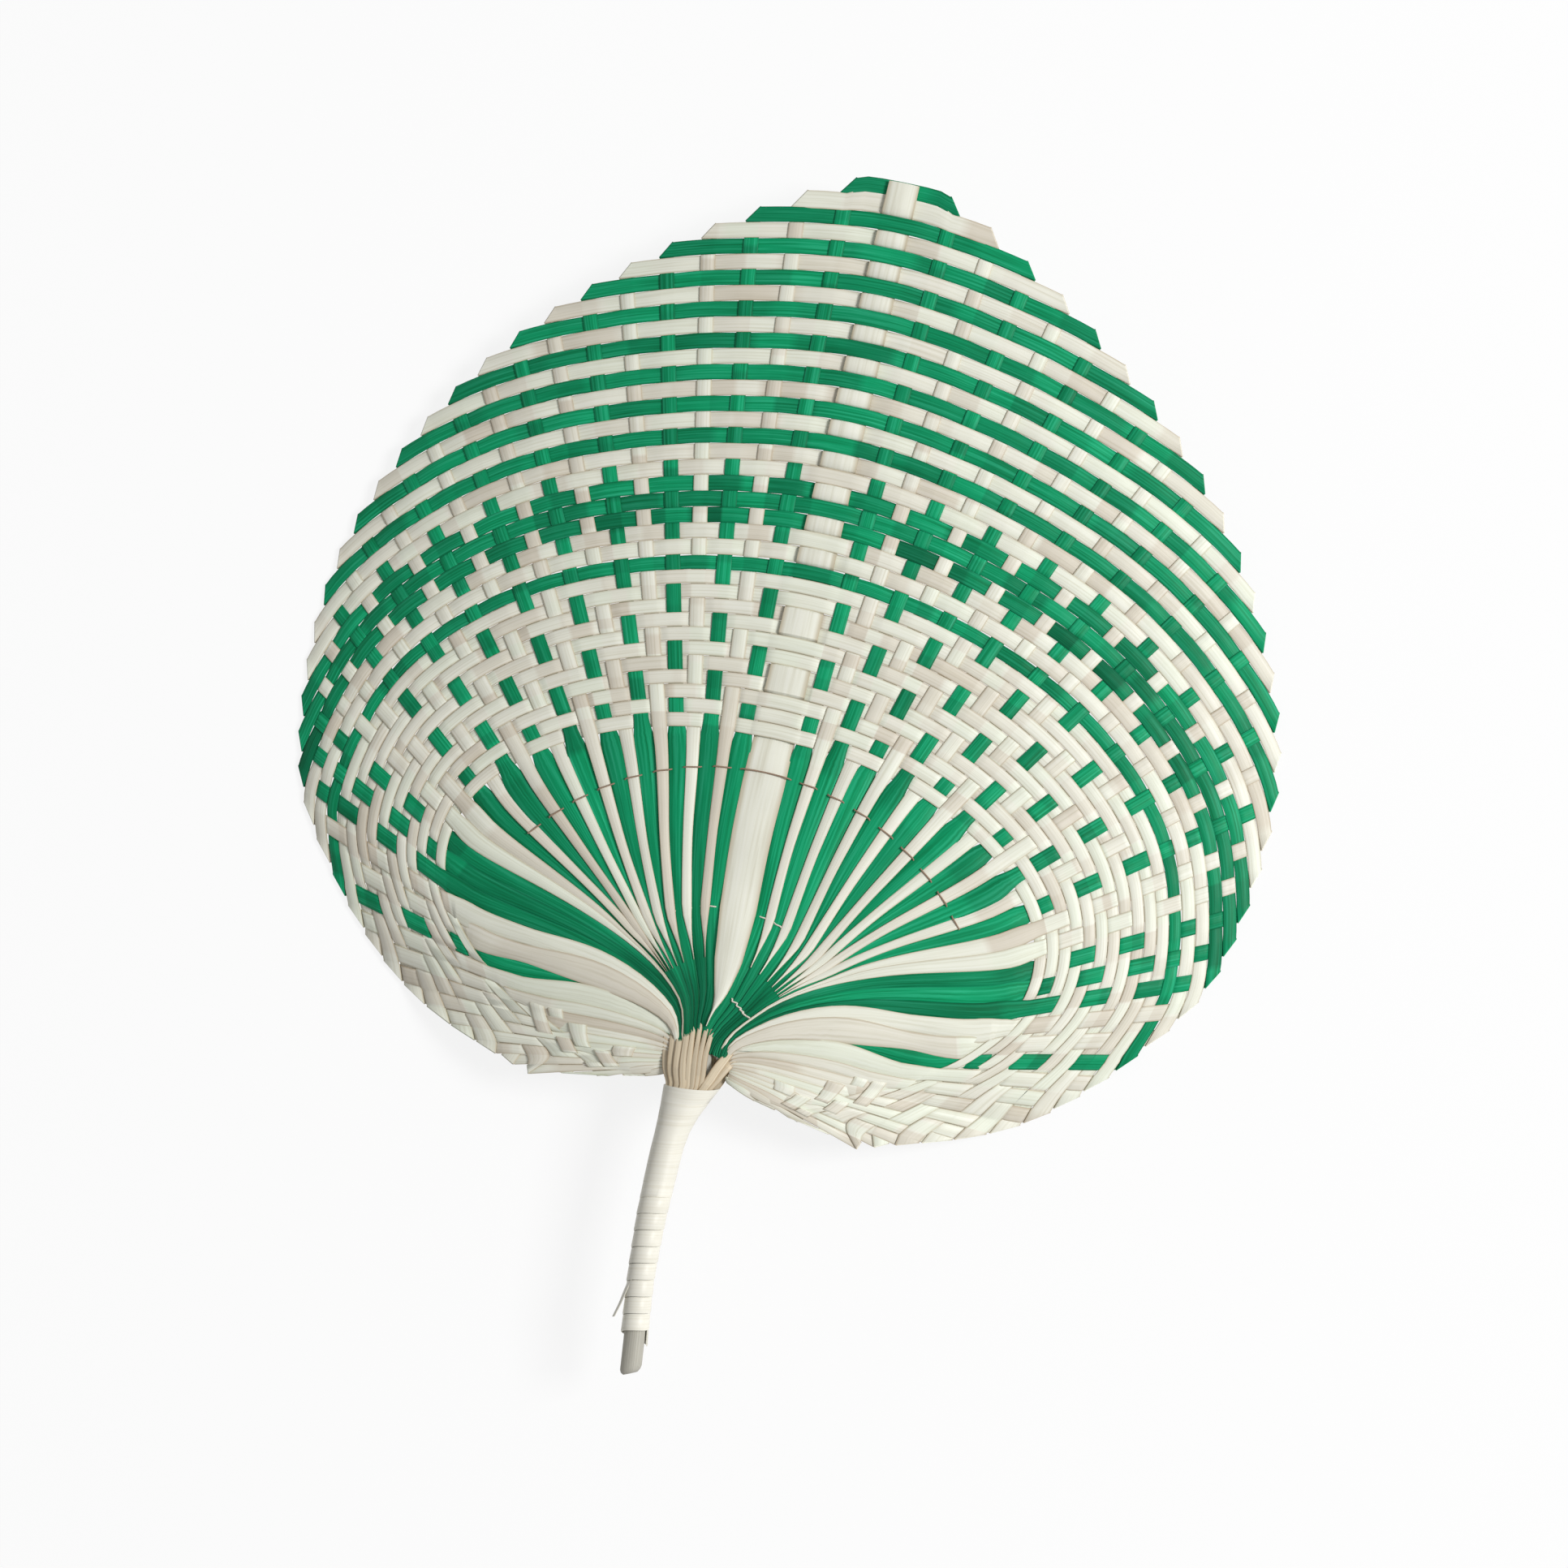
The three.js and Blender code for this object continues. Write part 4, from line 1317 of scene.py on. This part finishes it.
def add_stage():
    mesh = bpy.data.meshes.new("floor")
    reach = 6.0
    gap = 0.0002
    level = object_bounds()[0].z - gap
    corners = [(x * reach, y * reach, level) for x, y in ((-1, -1), (1, -1), (1, 1), (-1, 1))]
    mesh.from_pydata(corners, [], [(0, 1, 2, 3)])
    mesh.materials.append(stage_material("floor", colour=grey(0.95), white_share=0.85))
    floor = add_object("floor", mesh)


def add_key_lamp(place, size, power):
    """A square lamp that faces the origin."""
    lamp = bpy.data.lights.new("key", "AREA")
    lamp.shape = "SQUARE"
    lamp.size = size
    lamp.energy = power
    obj = add_object("key", lamp)
    obj.location = place
    obj.rotation_mode = "QUATERNION"
    obj.rotation_quaternion = (-Vector(place)).to_track_quat("-Z", "Y")


def add_world(strength):
    world = bpy.data.worlds.new("studio")
    world.use_nodes = True
    tree = world.node_tree
    background = tree.nodes["Background"]
    background.inputs["Color"].default_value = grey(1.0)
    level = add_node(tree, "MapRange")
    level.inputs["To Min"].default_value = strength
    level.inputs["To Max"].default_value = 1.0
    tree.links.new(seen_directly(tree), level.inputs["Value"])
    tree.links.new(level.outputs["Result"], background.inputs["Strength"])
    bpy.context.scene.world = world


def add_camera():
    """Above the front, a little to the right, the handle leaning to the lower left."""
    photo_pixels = 1932
    pixels_per_mm = 4.4013
    frame_width = photo_pixels / pixels_per_mm
    distance = 1250.0
    roll = radians(13.2)
    aside = radians(6.8)
    pitch = radians(6.4)
    target = Vector((5.6, 76.3, 0.0))
    back = Vector((
        sin(aside) * cos(pitch),
        -sin(pitch),
        cos(aside) * cos(pitch),
    ))
    fan_right = Vector((cos(aside), 0, -sin(aside)))
    fan_up = back.cross(fan_right)
    up = fan_up * cos(roll) - fan_right * sin(roll)
    right = fan_right * cos(roll) + fan_up * sin(roll)
    data = bpy.data.cameras.new("camera")
    data.sensor_width = 36.0
    data.lens = data.sensor_width * distance / frame_width
    data.clip_start = 0.05
    data.clip_end = 20.0
    camera = add_object("camera", data)
    place = NECK + (target + back * distance) * MM
    turned = Matrix((right, up, back)).transposed().to_4x4()
    camera.matrix_world = Matrix.Translation(place) @ turned
    bpy.context.scene.camera = camera


bpy.context.view_layer.update()
add_stage()
add_key_lamp(place=(1.75, 0.5, 1.75), size=0.8, power=51.0)
add_world(strength=0.33)
add_camera()
bpy.context.scene.view_settings.view_transform = "Standard"

bpy.context.view_layer.update()
